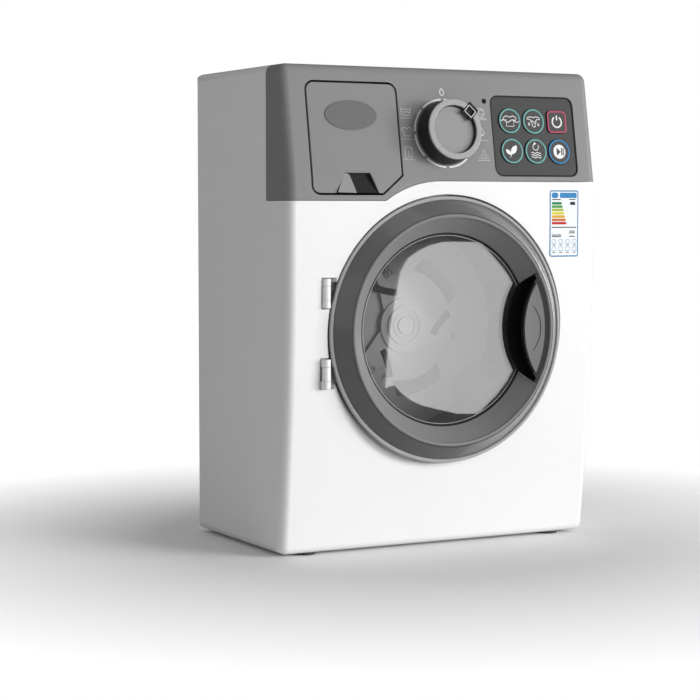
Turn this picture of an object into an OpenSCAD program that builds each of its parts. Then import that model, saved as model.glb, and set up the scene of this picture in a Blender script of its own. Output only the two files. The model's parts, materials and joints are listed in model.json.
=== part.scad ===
// Toy front-loading washing machine, in millimetres, standing on z = 0.
// The front is -Y. Inside the modules, Y is the depth behind the control panel joint.

/* [Cabinet] */
// Width of the cabinet
cab_w = 200; // [192:1:230]
// Height of the cabinet on its feet
cab_h = 270; // [262:1:300]
// Depth of the cabinet at the control panel joint
cab_d = 124; // [122:1:145]
// Wall thickness of the moulded shells
wall = 2.4; // [2:0.1:2.8]
// Radius of the cabinet's outer edges
edge_r = 5; // [4.6:0.2:6]
// Depth of the parting line between the front mouldings and the rear shell
cover_d = 28; // [26:1:32]
// How far the front curves back at the floor
belly = 11.5; // [8:0.5:13]
// Height at which the front bulges most
belly_z = 185; // [175:1:195]
// Gap at the seam between mouldings
seam = 0.3; // [0.2:0.1:0.5]
// Thickness of the lip inside the parting line
lip_t = 1.2; // [1:0.1:1.4]
// Length of the lip on each side of the parting line
lip_l = 3; // [2:0.5:4]
// Gap between the lip and the front mouldings
lip_gap = 0.2; // [0.1:0.05:0.3]

/* [Control panel] */
// Height of the panel above the joint
panel_h = 63; // [61:1:68]
// How far the panel leans back at its top
lean = 11; // [8:0.5:12]
// Drop of the joint line at the left end
joint_step = 11; // [9:0.5:12]
// Place across where the joint line becomes level
joint_x = -5; // [-8:1:0]
// Width of the curved rise of the joint line
joint_run = 35; // [32:1:38]

/* [Selector knob] */
// Distance of the knob's centre up the panel face from the joint
knob_up = 26.9; // [25:0.1:29]
// Radius of the knob at its foot
knob_r = 18; // [16:0.5:19]
// Radius of the knob at its front rim
knob_rim_r = 17; // [15:0.5:17.5]
// Radius of the dished cap inside the rim
knob_dish_r = 13.6; // [11:0.2:14]
// Height of the knob above the panel
knob_h = 12; // [10:0.5:14]
// Depth of the dish below the rim
knob_dish = 2.6; // [1.5:0.1:3.5]
// Angle of the pointer from the top, clockwise
pointer_deg = 45; // [0:5:90]
// Width of the pointer block
pointer_w = 7; // [5:0.5:8]
// Radius of the knob's shaft
knob_shaft_r = 3; // [2.5:0.25:3.5]
// Length of the shaft behind the panel face
knob_shaft_l = 15; // [12:1:17]

/* [Key pad] */
// Place of the key plate's centre across
pad_x = 59.5; // [57:0.5:61]
// Distance of the key plate's centre up the panel face from the joint
pad_up = 26.1; // [25.5:0.1:28]
// Width of the key plate
pad_w = 55; // [53:0.5:56]
// Height of the key plate
pad_h = 45.2; // [43:0.2:46]
// Thickness of the key plate
pad_t = 2.2; // [1.8:0.1:2.6]
// Gap round the key plate
pad_gap = 0.5; // [0.3:0.1:0.8]
// Distance between key centres across
key_step_x = 16; // [15.8:0.1:16.4]
// Distance between key centres up the face
key_step_z = 17.4; // [16.4:0.1:18]
// Radius of a round key
key_r = 7.25; // [6.8:0.05:7.3]
// Side of the square power key
power_side = 13; // [12:0.5:13.5]
// Gap between a key and its hole
key_gap = 0.2; // [0.15:0.05:0.3]
// Distance that a key travels
key_travel = 0.8; // [0.5:0.1:0.9]

/* [Detergent drawer] */
// Place of the drawer's centre across
drawer_x = -57.5; // [-58:0.5:-56]
// Width of the drawer front
drawer_w = 55; // [52:0.5:56]
// Height of the drawer front
drawer_h = 60; // [56:0.5:61]
// Drop of the drawer's lower edge below the joint
drawer_drop = 7; // [6:0.5:7]
// Thickness of the drawer front
drawer_t = 3; // [2.6:0.1:3.4]
// Gap round the drawer front
drawer_gap = 1.2; // [0.8:0.1:1.4]
// Outer width of the tray
tray_w = 46; // [42:0.5:47]
// Outer height of the tray
tray_h = 34; // [28:0.5:36]
// Depth of the tray's back face
tray_d = 74; // [68:1:80]
// Wall thickness of the tray and its housing
tray_t = 1.6; // [1.4:0.1:1.8]
// Running gap between the tray and its housing
tray_gap = 0.4; // [0.3:0.05:0.6]

/* [Door] */
// From the panel joint down to the top of the door's seat
seat_down = 7.5; // [6:0.5:9]
// Outer radius of the door
door_r = 75; // [74:0.5:76]
// From the door's edge in to the raised lip
bezel_w = 9.8; // [9:0.2:11]
// Width of the ring between the lip and the window
ring_w = 8.2; // [7.2:0.2:9]
// Thickness of the window
window_t = 1.8; // [1.4:0.1:2]
// How far the lip stands in front of the joint plane
lip_reach = 8; // [7:0.25:9]
// Gap round the door in its seat
door_gap = 1; // [0.8:0.1:1.4]
// Height of the handle plate
handle_h = 51; // [48:1:54]
// Width of the handle plate
handle_w = 13.5; // [12:0.5:14]
// From the handle plate's right edge to the well's right side
handle_in = 3.8; // [3:0.2:4.6]
// Radius of the hinge pins
pin_r = 1; // [0.9:0.05:1.1]
// Radial running clearance of pins and shafts
run_gap = 0.05; // [0.03:0.01:0.08]

/* [Drum] */
// How far the drum's wall lies outside the window's edge
drum_lap = 4.6; // [4.2:0.1:5]
// Wall thickness of the drum
drum_t = 1.4; // [1.2:0.1:1.6]
// Depth of the drum's back face
drum_d = 56; // [54:0.5:57]
// Radial gap between the drum and the tub
drum_gap = 2; // [1.5:0.1:2.2]
// Radius of the axle
axle_r = 3; // [2.5:0.25:3.5]
// Number of lifters
lifters = 3; // [3:1:4]
// Distance of the back's screw bosses from the axis
arm_r = 32.6; // [30:0.2:36]
// Columns of holes round the drum
hole_columns = 24; // [18:6:30]
// Radius of a drum hole
hole_r = 1.3; // [1:0.1:1.5]

/* [Drive] */
// Module of the drum gear and the idler's pinion
gear_m = 1; // [1:0.05:1.05]
// Module of the idler's wheel and the motor pinion
fine_m = 0.8; // [0.75:0.05:0.85]
// Backlash of the gears on the pitch circle
backlash = 0.25; // [0.2:0.05:0.35]

/* [Power and sound] */
// Radius of a battery cell
cell_r = 7.25; // [7.1:0.05:7.4]
// Length of a battery cell
cell_l = 50.5; // [49.5:0.5:51]
// Radius of the speaker
speaker_r = 20; // [18:0.5:20]

/* [Feet and screws] */
// Height of the feet below the cabinet
foot_h = 1.5; // [1:0.25:2]
// Radius of a foot
foot_r = 6; // [5:0.25:6.5]
// Radius of the screw bosses
boss_r = 3.6; // [3.4:0.1:3.8]
// Radius of a case screw's shank
screw_r = 1.25; // [1.1:0.05:1.3]

/* [Hidden] */
$fn = 72;
eps = 0.01;
white = [0.94, 0.94, 0.93];
panel_grey = [0.5, 0.5, 0.51];
door_grey = [0.36, 0.36, 0.37];
light_grey = [0.68, 0.68, 0.69];
charcoal = [0.2, 0.2, 0.21];
black = [0.05, 0.05, 0.055];
steel = [0.75, 0.76, 0.78];
board_green = [0.05, 0.32, 0.2];
brass = [0.78, 0.63, 0.3];

// Cabinet outline seen from the side
joint_z = cab_h - panel_h;
seat_r = door_r + door_gap;
door_z = joint_z - seat_down - seat_r;
belly_r = (pow(belly_z - foot_h, 2) + pow(belly, 2)) / (2 * belly);
function front_at(z) = belly_r - sqrt(pow(belly_r, 2) - pow(z - belly_z, 2));
face_d = front_at(joint_z);
lean_deg = atan((lean - face_d) / panel_h);
belly_steps = 11;
edge_steps = 5;
corner_steps = 6;
edge_rim_r = 0.5;
side_corners = [[lean, cab_h], [cab_d, cab_h], [cab_d, foot_h]];
cabinet_side = concat(
    [for (k = [0:belly_steps])
        let (z = foot_h + (joint_z - foot_h) * k / belly_steps) [front_at(z), z]],
    side_corners);

// Unit vector into the outline, square to its edge from a to b
function inward(a, b) = [b[1] - a[1], a[0] - b[0]] / norm(b - a);
// Corner i of an outline, moved in by a distance from both its edges
function moved_in(outline, i, inset) =
    let (n = len(outline), c = outline[i])
    let (u = inward(outline[(i + n - 1) % n], c), v = inward(c, outline[(i + 1) % n]))
    c + inset * (u + v) / (1 + u * v);
// Rounded corner i of an outline: arc of radius r about the corner moved in by inset
function corner_arc(outline, i, inset, r) =
    let (n = len(outline), c = outline[i], centre = moved_in(outline, i, inset))
    let (u = -inward(outline[(i + n - 1) % n], c), v = -inward(c, outline[(i + 1) % n]))
    let (from = atan2(u[1], u[0]), turn = (atan2(v[1], v[0]) - from + 540) % 360 - 180)
    [for (k = [0:corner_steps])
        let (a = from + turn * k / corner_steps) centre + r * [cos(a), sin(a)]];
// Cabinet outline whose corners lie edge_r inside the full form and are rounded by r
function rounded_side(r) = [
    for (i = [0:len(cabinet_side) - 1])
        each i == 0 || i > belly_steps ? corner_arc(cabinet_side, i, edge_r, r)
            : [moved_in(cabinet_side, i, edge_r - r)]];
joint_round = (pow(joint_run, 2) + pow(joint_step, 2)) / (2 * joint_step);

// The origin is the middle of the whole toy's base
knob_reach = knob_h * cos(lean_deg) + knob_rim_r * sin(lean_deg)
    - face_d - knob_up * sin(lean_deg);
handle_reach = lip_reach + 1;
front_reach = max(knob_reach, handle_reach);
y_front = (front_reach - cab_d) / 2;

// Screw bosses that join the shells
boss_x = cab_w / 2 - wall - lip_gap - lip_t - 0.2 - boss_r;
boss_z = [22, door_z + 56, joint_z + 44];
well_t = 4;
head_r = 2.5;
head_h = 1.8;
screw_bite = 9;

// Door, seat and mouth
lip_w = 2.4;
lip_r = door_r - bezel_w;
window_r = lip_r - lip_w - ring_w;
drum_r = window_r + drum_lap;
seat_d = 7;
seat_back = seat_d + wall;
mouth_r = drum_r - 1.2;
arm_turn = -108;
lifter_turn = -200;
slot_w = 9;
collar_t = 2;
drum_front = seat_back + 4.8;
drum_out = drum_r + drum_t;
tub_r = drum_out + drum_gap;
tub_t = 2.2;
tub_back = drum_d + 2;
tub_floor = 2.4;
flange_r = seat_r - 3;
tub_screw_r = (tub_r + tub_t + flange_r) / 2;
trim_t = 2.1;
trim_h = 2.3;
bezel_r = door_r - 1;
bezel_t = 2.8;
bezel_back = seat_d - 0.4;
ring_t = 1.6;
window_d = bezel_back - ring_t - window_t;
door_screw_r = (lip_r + bezel_r - bezel_t) / 2 + 0.2;
door_screws = 6;

// Handle: a finger well behind a lens-shaped plate
well_left = window_r - 14.6;
well_tip = 31.2;
well_right = lip_r - lip_w - 0.4;
well_tip_x = sqrt(pow(well_right, 2) - pow(well_tip, 2));
well_in = well_tip_x - well_left;
well_arc = (pow(well_tip, 2) + pow(well_in, 2)) / (2 * well_in);
well_wall = 1.4;
well_rim = 0.8 - lip_reach;
handle_t = 1.8;
grip_t = 1.4;
grip_edge = 0.7;
handle_right = well_right - handle_in;
handle_left = handle_right - handle_w;
handle_tip_x = sqrt(pow(handle_right, 2) - pow(handle_h / 2, 2));
handle_bulge = handle_tip_x - handle_left;
handle_arc = (pow(handle_h / 2, 2) + pow(handle_bulge, 2)) / (2 * handle_bulge);
mark_r = 18;

// Hinge
hinge_x = -(door_r + 2);
hinge_d = 0.6;
knuckle_r = 2.4;
hinge_in = 14;
ear_l = 4;
knuckle_l = 7.6;
hinge_gap = 0.2;
hinge_out = hinge_in + 2 * ear_l + knuckle_l + 2 * hinge_gap;
slot_gap = 0.6;
slot_d = hinge_d + 5;

// Latch
latch_x = tub_r + tub_t + 3.8;
hook_t = 2.4;
hook_w = 7;
hook_l = 7;
slot_side = 1.8;

// Panel parts
switch_r = 9;
pad_sink = 0.3;
pad_ledge = 2.5;
pad_back = pad_sink + pad_t;
key_lift = 0.4;
flange_gap = 0.1;
flange_t = 1.2;
flange_lap = 0.5;
stem_l = 1.2;
tact_gap = 0.2;
board_t = 1.6;
board_d = pad_back + flange_gap + flange_t + stem_l + key_travel + tact_gap + 2.6;
led_x = 27.5;
led_up = 45.9;
led_r = 1.5;

// Feet
foot_x = boss_x - 12;
foot_back = cab_d - 14;
foot_front = cover_d - foot_r - 1;
foot_sink = 0.6;

// Drawer parts
drawer_z = joint_z - drawer_drop + drawer_h / 2;
corner_r = 4.5;
chamfer_x = 12;
chamfer_z = 10;
tray_z = drawer_z - drawer_h / 2 + 4;
tray_front = lean + 2.4;
tray_cut = 1.2;
house_rim = tray_front + 3.6;
notch_top = 16;
notch_low = 26.5;
notch_h = 11;
notch_x = drawer_x - 0.2;
badge_w = 32;
badge_h = 16.5;
badge_up = 12.5;
badge_arc = (pow(badge_w / 2, 2) + pow(badge_h / 2, 2)) / badge_h;

// Gear train: drum gear, idler wheel with its pinion, motor pinion
drum_teeth = 48;
small_teeth = 12;
wheel_teeth = 40;
pinion_teeth = 10;
pressure = 22;
web_hole_r = 4.4;
idler_z = door_z - gear_m * (drum_teeth + small_teeth) / 2;
motor_z = idler_z - fine_m * (wheel_teeth + pinion_teeth) / 2;
box_front = tub_back + tub_floor + 3.8;
box_t = 1.6;
gear_d = box_front + box_t + 1.8;
gear_w = 6;
wheel_d = gear_d + gear_w + 1.2;
wheel_w = 5;
box_back = wheel_d + wheel_w + 2.4;
box_rear = box_back + 2;
drum_box_r = gear_m * (drum_teeth / 2 + 1) + 1.4 + box_t;
idler_box_r = fine_m * (wheel_teeth / 2 + 1) + 1.6 + box_t;
pinion_box_r = fine_m * (pinion_teeth / 2 + 1) + 2.4 + box_t;
idler_shaft_r = 1.5;
motor_shaft_r = 1;
motor_r = 10;
motor_flat = 15.4;
motor_l = 25;
ear_r = 4;
box_ears = [[-drum_box_r - 2.4, door_z + 8], [drum_box_r + 2.4, door_z + 8],
    [0, motor_z - pinion_box_r - 2.2]];

// Battery bay in the back wall
cells = 3;
cell_step = 2 * cell_r + 0.7;
bay_w = cell_l + 7;
bay_h = cells * cell_step + 0.8;
bay_depth = 2 * cell_r + 1;
bay_z = foot_h + wall + 6 + bay_h / 2;
bay_t = 1.6;
bay_flange = 2;
tongue = 8;
bay_in = cab_d - wall;

// Speaker and main board
speaker_x = 35;
speaker_up = 14;
speaker_z = joint_z + speaker_up;
grille_rings = 3;
main_w = 50;
main_h = 40;
main_x = -52;
main_up = 15;
main_z = joint_z + main_up;
main_gap = 10;

// Puts a piece, drawn from the joint plane back, at its place on the base
module placed() translate([0, y_front, 0]) children();

// A frame on the leaning panel face, with Y into the panel and Z up the face
module on_panel(x = 0, up = 0)
    translate([0, face_d, joint_z]) rotate([-lean_deg, 0, 0]) translate([x, 0, up]) children();

// A front-view outline made solid between two depths
module plate(d0, d1) translate([0, d1, 0]) rotate([90, 0, 0]) linear_extrude(d1 - d0) children();

// A round bar along the depth
module rod(x, z, r, d0, d1) translate([x, d0, z]) rotate([-90, 0, 0]) cylinder(r = r, h = d1 - d0);

// A round bar from low to high along the height
module post(x, d, r, z0, z1) translate([x, d, z0]) cylinder(r = r, h = z1 - z0);

// A profile of radius and depth turned about the door and drum axis
module turned() translate([0, 0, door_z]) rotate([-90, 0, 0]) rotate_extrude() children();

// A block between two corners
module block(a, b) translate(a) cube(b - a);

// A rectangle with round corners
module rounded(w, h, r) {
    square([w - 2 * r, h], center = true);
    square([w, h - 2 * r], center = true);
    for (x = [-1, 1], y = [-1, 1])
        translate([x * (w / 2 - r), y * (h / 2 - r)]) circle(r);
}

// Copies about the door and drum axis
module around(count, start = 0)
    translate([0, 0, door_z])
        for (k = [0:count - 1]) rotate([0, start + 360 * k / count, 0]) children();

// The cabinet's closed outer form, or the same form a given distance inside it
module cabinet_form(inset = 0) {
    round_r = edge_r - inset;
    flat = cab_w / 2 - edge_r;
    stations = [for (side = [-1, 1], k = [0:edge_steps])
        let (turn = 90 * (side < 0 ? edge_steps - k : k) / edge_steps)
        [side * (flat + round_r * sin(turn)), max(round_r * cos(turn), edge_rim_r)]];
    rings = [for (s = stations) [for (p = rounded_side(s[1])) [s[0], p[0], p[1]]]];
    n = len(rings[0]);
    last = n * (len(rings) - 1);
    polyhedron(
        points = [for (ring = rings) each ring],
        faces = concat(
            [for (j = [1:n - 2]) [0, j + 1, j]],
            [for (j = [1:n - 2]) [last, last + j, last + j + 1]],
            [for (i = [0:len(rings) - 2], j = [0:n - 1])
                let (a = n * i + j, b = n * i + (j + 1) % n)
                each [[a, b + n, a + n], [a, b, b + n]]]));
}

// Everything deeper than a distance behind the face of the panel
module behind_face(depth)
    intersection() {
        on_panel() block([-cab_w, depth, -2 * joint_step], [cab_w, cab_d, panel_h]);
        block([-cab_w, face_d + depth, 0], [cab_w, cab_d, cab_h]);
    }

// The rear moulding's closed form: a box with every edge rounded
module box_form(inset = 0) {
    round_r = edge_r - inset;
    long = 2 * cab_d;
    intersection() {
        plate(-1, cab_d)
            translate([0, cab_h / 2 + foot_h / 2])
                rounded(cab_w - 2 * inset, cab_h - foot_h - 2 * inset, round_r);
        linear_extrude(cab_h)
            translate([0, cab_d - inset - long / 2]) rounded(cab_w - 2 * inset, long, round_r);
        translate([-cab_w / 2, 0, 0]) rotate([90, 0, 90]) linear_extrude(cab_w)
            translate([cab_d - inset - long / 2, cab_h / 2 + foot_h / 2])
                rounded(long, cab_h - foot_h - 2 * inset, round_r);
    }
}

// The part of the front below the joint line
module below_joint(gap = 0) {
    far = cab_w / 2 + 1;
    translate([-far, 0]) square([2 * far, joint_z - joint_step - gap]);
    translate([joint_x, 0]) square([far - joint_x, joint_z - gap]);
    intersection() {
        translate([joint_x, joint_z - joint_round]) circle(joint_round - gap);
        translate([joint_x - joint_run, joint_z - 2 * joint_step])
            square([joint_run + 1, 3 * joint_step]);
    }
}

// The drawer front's outline, grown by a gap
module drawer_outline(grow = 0) {
    slope = norm([chamfer_x, chamfer_z]);
    difference() {
        translate([drawer_x, drawer_z])
            rounded(drawer_w + 2 * grow, drawer_h + 2 * grow, corner_r + grow);
        translate([drawer_x + drawer_w / 2, drawer_z - drawer_h / 2]
            + grow * [chamfer_z, -chamfer_x] / slope)
            polygon([[-2 * chamfer_x, -chamfer_z], [chamfer_x, 2 * chamfer_z],
                [2 * chamfer_x, -chamfer_z]]);
    }
}

// The finger notch in the drawer's lower edge
module notch_outline() {
    low = drawer_z - drawer_h / 2;
    translate([notch_x, low])
        polygon([[-notch_low / 2, -2], [-notch_low / 2, 0], [-notch_top / 2, notch_h],
            [notch_top / 2, notch_h], [notch_low / 2, 0], [notch_low / 2, -2]]);
}

// The lens-shaped outline of the finger well, seen from the front
module well_outline(inset = 0)
    translate([0, door_z])
        intersection() {
            circle(well_right - inset);
            translate([well_left + well_arc, 0]) circle(well_arc - inset);
        }

// The handle plate's outline, or the grip's round it
module handle_outline(right = handle_right, grow = 0)
    translate([0, door_z])
        intersection() {
            circle(right);
            translate([handle_left + handle_arc, 0]) circle(handle_arc + grow);
        }

// The hinge's two places, mirrored about the door's centre
module both_hinges()
    translate([0, 0, door_z]) for (side = [0, 1]) mirror([0, 0, side]) children();

// Angle of a tooth flank from the tooth's centre line, at a radius
function flank(r, base, half) = let (a = acos(min(1, base / r)), p = pressure)
    half + (tan(p) - tan(a)) * 180 / PI - p + a;

// A spur gear's outline with involute flanks
module gear_outline(teeth, m) {
    pitch_r = m * teeth / 2;
    base = pitch_r * cos(pressure);
    half = 90 / teeth - backlash / 2 / pitch_r * 180 / PI;
    radii = [pitch_r - 1.2 * m, max(base, pitch_r - 0.6 * m), pitch_r, pitch_r + 0.45 * m,
        pitch_r + 0.85 * m];
    last = len(radii) - 1;
    polygon([for (t = [0:teeth - 1], side = [-1, 1], k = [0:last])
        let (r = radii[side < 0 ? k : last - k], a = 360 * t / teeth + side * flank(r, base, half))
        r * [cos(a), sin(a)]]);
}

// The gearbox outline, drawn in by a distance
module box_outline(inset = 0) {
    translate([0, door_z]) circle(drum_box_r - inset);
    translate([0, idler_z]) circle(idler_box_r - inset);
    translate([0, motor_z]) circle(pinion_box_r - inset);
    translate([-pinion_box_r + inset, motor_z])
        square([2 * (pinion_box_r - inset), door_z - motor_z]);
}

module box_ear_outline()
    for (p = box_ears) hull() {
        translate(p) circle(ear_r, $fn = 32);
        translate([p[0] * 0.8, p[1] + (p[0] == 0 ? 5 : 0)]) circle(ear_r, $fn = 32);
    }

// The battery door's outline
module bay_outline(grow = 0)
    translate([0, bay_z + tongue / 2])
        rounded(bay_w + 3 + 2 * grow, bay_h + 3 + tongue + 2 * grow, 2 + grow);

// A round key's or the power key's outline
module key_outline(square_key, grow = 0)
    if (square_key) rounded(power_side + 2 * grow, power_side + 2 * grow, 2.6 + grow);
    else circle(key_r + grow);

// Every key's place on the panel face, with the square one flagged
key_places = [for (row = [1, 0], column = [-1, 0, 1])
    [pad_x + column * key_step_x, pad_up + (row - 0.5) * key_step_z, row == 1 && column == 1]];

module screw_wells_outer(d0, d1, rows)
    for (x = [-boss_x, boss_x], k = rows) rod(x, boss_z[k], boss_r, d0, d1);

/* Root: the mouldings */

module rear_shell() placed() color(white)
    difference() {
        union() {
            intersection() {
                box_form();
                block([-cab_w, cover_d, 0], [cab_w, cab_d + 1, cab_h + 1]);
            }
            intersection() {
                box_form(wall + lip_gap);
                block([-cab_w, cover_d - lip_l, 0], [cab_w, cover_d + lip_l, cab_h]);
            }
        }
        difference() {
            union() {
                intersection() {
                    box_form(wall);
                    block([-cab_w, cover_d + lip_l, 0], [cab_w, cab_d, cab_h]);
                }
                box_form(wall + lip_gap + lip_t);
            }
            screw_wells_outer(cover_d, cab_d, [0, 1, 2]);
            for (x = [-1, 1], z = [-1, 1])
                rod(main_x + x * (main_w / 2 - 4), main_z + z * (main_h / 2 - 4), 2.6,
                    bay_in - main_gap, cab_d);
            rod(speaker_x, speaker_z, speaker_r + 2, bay_in - 3, cab_d);
        }
        for (x = [-boss_x, boss_x], z = boss_z) {
            rod(x, z, screw_r + 0.2, 0, cab_d);
            rod(x, z, head_r + 0.3, cover_d + well_t, cab_d + 1);
        }
        rod(speaker_x, speaker_z, speaker_r + 0.2, 0, bay_in);
        for (k = [0:grille_rings], j = [0:max(0, 6 * k - 1)])
            let (a = 60 * j / max(1, k), r = 5 * k)
            rod(speaker_x + r * cos(a), speaker_z + r * sin(a), 1.3, bay_in - 5, cab_d + 1);
        plate(bay_in - 5, cab_d + 1) bay_outline();
        for (x = [-1, 1])
            post(x * foot_x, foot_back, foot_r + 0.1, 0, foot_h + foot_sink);
    }

module hinge_ears(far)
    both_hinges()
        for (z = [hinge_in, hinge_out - ear_l]) {
            post(hinge_x, hinge_d, knuckle_r, z, z + ear_l);
            block([hinge_x - knuckle_r, hinge_d, z], [hinge_x + knuckle_r, far, z + ear_l]);
        }

module front_cover() placed() color(white) {
    difference() {
        intersection() {
            cabinet_form();
            plate(-1, cover_d) below_joint(seam);
        }
        difference() {
            cabinet_form(wall);
            turned() translate([mouth_r, 0]) square([seat_r + wall - mouth_r, seat_back]);
            turned() translate([mouth_r, 0]) square([collar_t, drum_front - 0.8]);
            screw_wells_outer(0, cover_d, [0, 1]);
            both_hinges()
                block([hinge_x - knuckle_r - slot_gap - wall, 0, hinge_in - slot_gap - wall],
                    [hinge_x + knuckle_r + 5, seat_back, hinge_out + slot_gap + wall]);
        }
        turned() translate([0, -5]) square([seat_r, seat_d + 5]);
        turned() translate([0, -5]) square([mouth_r, cover_d + 5]);
        both_hinges()
            block([hinge_x - knuckle_r - slot_gap, -5, hinge_in - slot_gap],
                [hinge_x + knuckle_r + 4, slot_d, hinge_out + slot_gap]);
        block([latch_x - slot_side, 0, door_z - hook_w / 2 - 1],
            [latch_x + hook_t + slot_side, seat_back + 1, door_z + hook_w / 2 + 1]);
        for (x = [-boss_x, boss_x], k = [0, 1])
            rod(x, boss_z[k], screw_r + 0.05, cover_d - screw_bite, cover_d + 1);
        around(4, 45) rod(tub_screw_r, 0, 1.15, seat_d + 0.6, seat_back + 1);
        for (x = [-1, 1])
            post(x * foot_x, foot_front, foot_r + 0.1, 0, foot_h + foot_sink);
    }
    difference() {
        hinge_ears(slot_d + eps);
        both_hinges() post(hinge_x, hinge_d, pin_r, 0, 2 * hinge_out);
    }
}

module control_panel() placed() color(panel_grey)
    difference() {
        intersection() {
            cabinet_form();
            difference() {
                block([-cab_w, -1, joint_z - 2 * joint_step], [cab_w, cover_d, cab_h + 1]);
                plate(-2, cover_d + 1) below_joint();
            }
        }
        difference() {
            cabinet_form(wall);
            screw_wells_outer(0, cover_d, [2]);
            on_panel(pad_x, pad_up) {
                plate(wall - eps, pad_back + 1.7) rounded(pad_w + 7, pad_h + 5, 4);
                for (x = [-1, 1], z = [-1, 1])
                    rod(x * (pad_w / 2 - 3.2), z * (pad_h / 2 - 3.4), 2, wall, board_d);
            }
            on_panel(led_x, led_up) rod(0, 0, led_r + 1.4, 0, 6);
        }
        plate(-5, cover_d) drawer_outline(drawer_gap);
        on_panel(0, knob_up) rod(0, 0, knob_shaft_r + 0.4, -1, cover_d);
        on_panel(led_x, led_up) rod(0, 0, led_r, -1, cover_d);
        on_panel(pad_x, pad_up) {
            plate(-1, pad_back + 0.1) rounded(pad_w + 2 * pad_gap, pad_h + 2 * pad_gap, 3.5 + pad_gap);
            difference() {
                plate(-1, pad_back + 2)
                    rounded(pad_w - 2 * pad_ledge, pad_h - 2 * pad_ledge, 2);
                for (x = [-1, 1], z = [-1, 1])
                    rod(x * (pad_w / 2 - 3.2), z * (pad_h / 2 - 3.4), 2, pad_back, board_d);
            }
        }
        for (x = [-boss_x, boss_x])
            rod(x, boss_z[2], screw_r + 0.05, cover_d - screw_bite, cover_d + 1);
    }

module drawer_housing() placed() color(white) {
    low = tray_z - tray_gap - tray_t;
    high = tray_z + tray_h + tray_gap + tray_t;
    half = tray_w / 2 + tray_gap + tray_t;
    rear = tray_d + 2 + tray_t;
    difference() {
        union() {
            intersection() {
                behind_face(wall);
                plate(0, house_rim) drawer_outline(drawer_gap + tray_t);
            }
            block([drawer_x - half, house_rim - 1, low], [drawer_x + half, rear, high]);
        }
        plate(-1, house_rim - tray_t) drawer_outline(drawer_gap);
        block([drawer_x - half + tray_t, 0, low + tray_t],
            [drawer_x + half - tray_t, rear - tray_t, high - tray_t]);
    }
    // Runner ribs under the tray
    for (x = [-1, 1])
        block([drawer_x + x * tray_w / 3 - 1, house_rim, low + tray_t - eps],
            [drawer_x + x * tray_w / 3 + 1, rear - tray_t, low + tray_t + tray_gap - 0.1]);
}

module button_plate() placed() color(charcoal)
    difference() {
        on_panel(pad_x, pad_up) plate(pad_sink, pad_back) rounded(pad_w, pad_h, 3.5);
        for (p = key_places)
            on_panel(p[0], p[1]) plate(-1, pad_back + 1) key_outline(p[2], key_gap);
    }

module key_board() placed() color(board_green) {
    on_panel(pad_x, pad_up) plate(board_d, board_d + board_t) rounded(pad_w - 1, pad_h - 1, 1);
    for (p = key_places)
        on_panel(p[0], p[1]) {
            plate(board_d - 2, board_d) square(6, center = true);
            rod(0, 0, 1.6, board_d - 2.6, board_d - 2);
        }
}

module main_board() placed() color(board_green) {
    front = bay_in - main_gap - board_t;
    difference() {
        plate(front, front + board_t) translate([main_x, main_z]) square([main_w, main_h], center = true);
        for (x = [-1, 1], z = [-1, 1])
            rod(main_x + x * (main_w / 2 - 4), main_z + z * (main_h / 2 - 4), 1.2, 0, cab_d);
    }
    block([main_x - 6, front - 2, main_z - 6], [main_x + 6, front, main_z + 6]);
    for (k = [0:2]) rod(main_x + 12, main_z - 10 + 9 * k, 3, front - 7, front);
    block([main_x - 20, front - 6, main_z - 12], [main_x - 14, front, main_z + 12]);
}

module rotary_switch() placed() color(charcoal)
    on_panel(0, knob_up)
        difference() {
            union() {
                rod(0, 0, switch_r, wall, knob_shaft_l - 3);
                rod(0, 0, switch_r - 3, knob_shaft_l - 3, knob_shaft_l + 1.6);
                plate(wall, wall + 1.6) square([2 * switch_r + 6, 7], center = true);
            }
            rod(0, 0, knob_shaft_r + run_gap, 0, knob_shaft_l + 0.3);
        }

module status_led() placed() color(black)
    on_panel(led_x, led_up) {
        rod(0, 0, led_r - 0.05, 0.2, 7);
        rod(0, 0, led_r + 1, 6, 9);
    }

module drum_tub() placed() color(charcoal)
    difference() {
        union() {
            turned()
                polygon([[tub_r, seat_back], [flange_r, seat_back], [flange_r, seat_back + 2],
                    [tub_r + tub_t, seat_back + 2], [tub_r + tub_t, tub_back],
                    [tub_r + tub_t - 4, tub_back + tub_floor], [0, tub_back + tub_floor],
                    [0, tub_back], [tub_r - 2, tub_back], [tub_r, tub_back - 2]]);
            rod(0, door_z, axle_r + 6, tub_back, box_front - 0.2);
            for (p = box_ears) rod(p[0], p[1], 3.4, tub_back, box_front);
            for (k = [0:5])
                around(1, 60 * k + 30)
                    block([axle_r, tub_back + tub_floor - eps, -0.8],
                        [tub_r - 6, tub_back + tub_floor + 1.6, 0.8]);
        }
        rod(0, door_z, axle_r + 2, 0, box_front + 1);
        block([tub_r + tub_t + eps, 0, door_z - 11], [seat_r, seat_back + 3, door_z + 11]);
        around(4, 45) rod(tub_screw_r, 0, 1.2, 0, seat_back + 3);
        for (p = box_ears) rod(p[0], p[1], 1.25, tub_back + 0.6, box_front + 1);
    }

module axle_bush() placed() color(brass)
    difference() {
        rod(0, door_z, axle_r + 2, tub_back, box_front - 0.2);
        rod(0, door_z, axle_r + run_gap, 0, box_front + 1);
    }

module gearbox_case() placed() color(light_grey)
    difference() {
        union() {
            plate(box_front, box_back) box_outline();
            plate(box_front, box_front + 2.4) box_ear_outline();
            plate(box_back - 2.4, box_back) box_ear_outline();
            for (p = box_ears) rod(p[0], p[1], 2.6, box_front, box_back);
        }
        plate(box_front + box_t, box_back + 1) box_outline(box_t);
        rod(0, door_z, axle_r + 0.4, 0, cab_d);
        rod(0, idler_z, idler_shaft_r, 0, cab_d);
        for (p = box_ears) rod(p[0], p[1], 1.3, 0, cab_d);
    }

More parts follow.
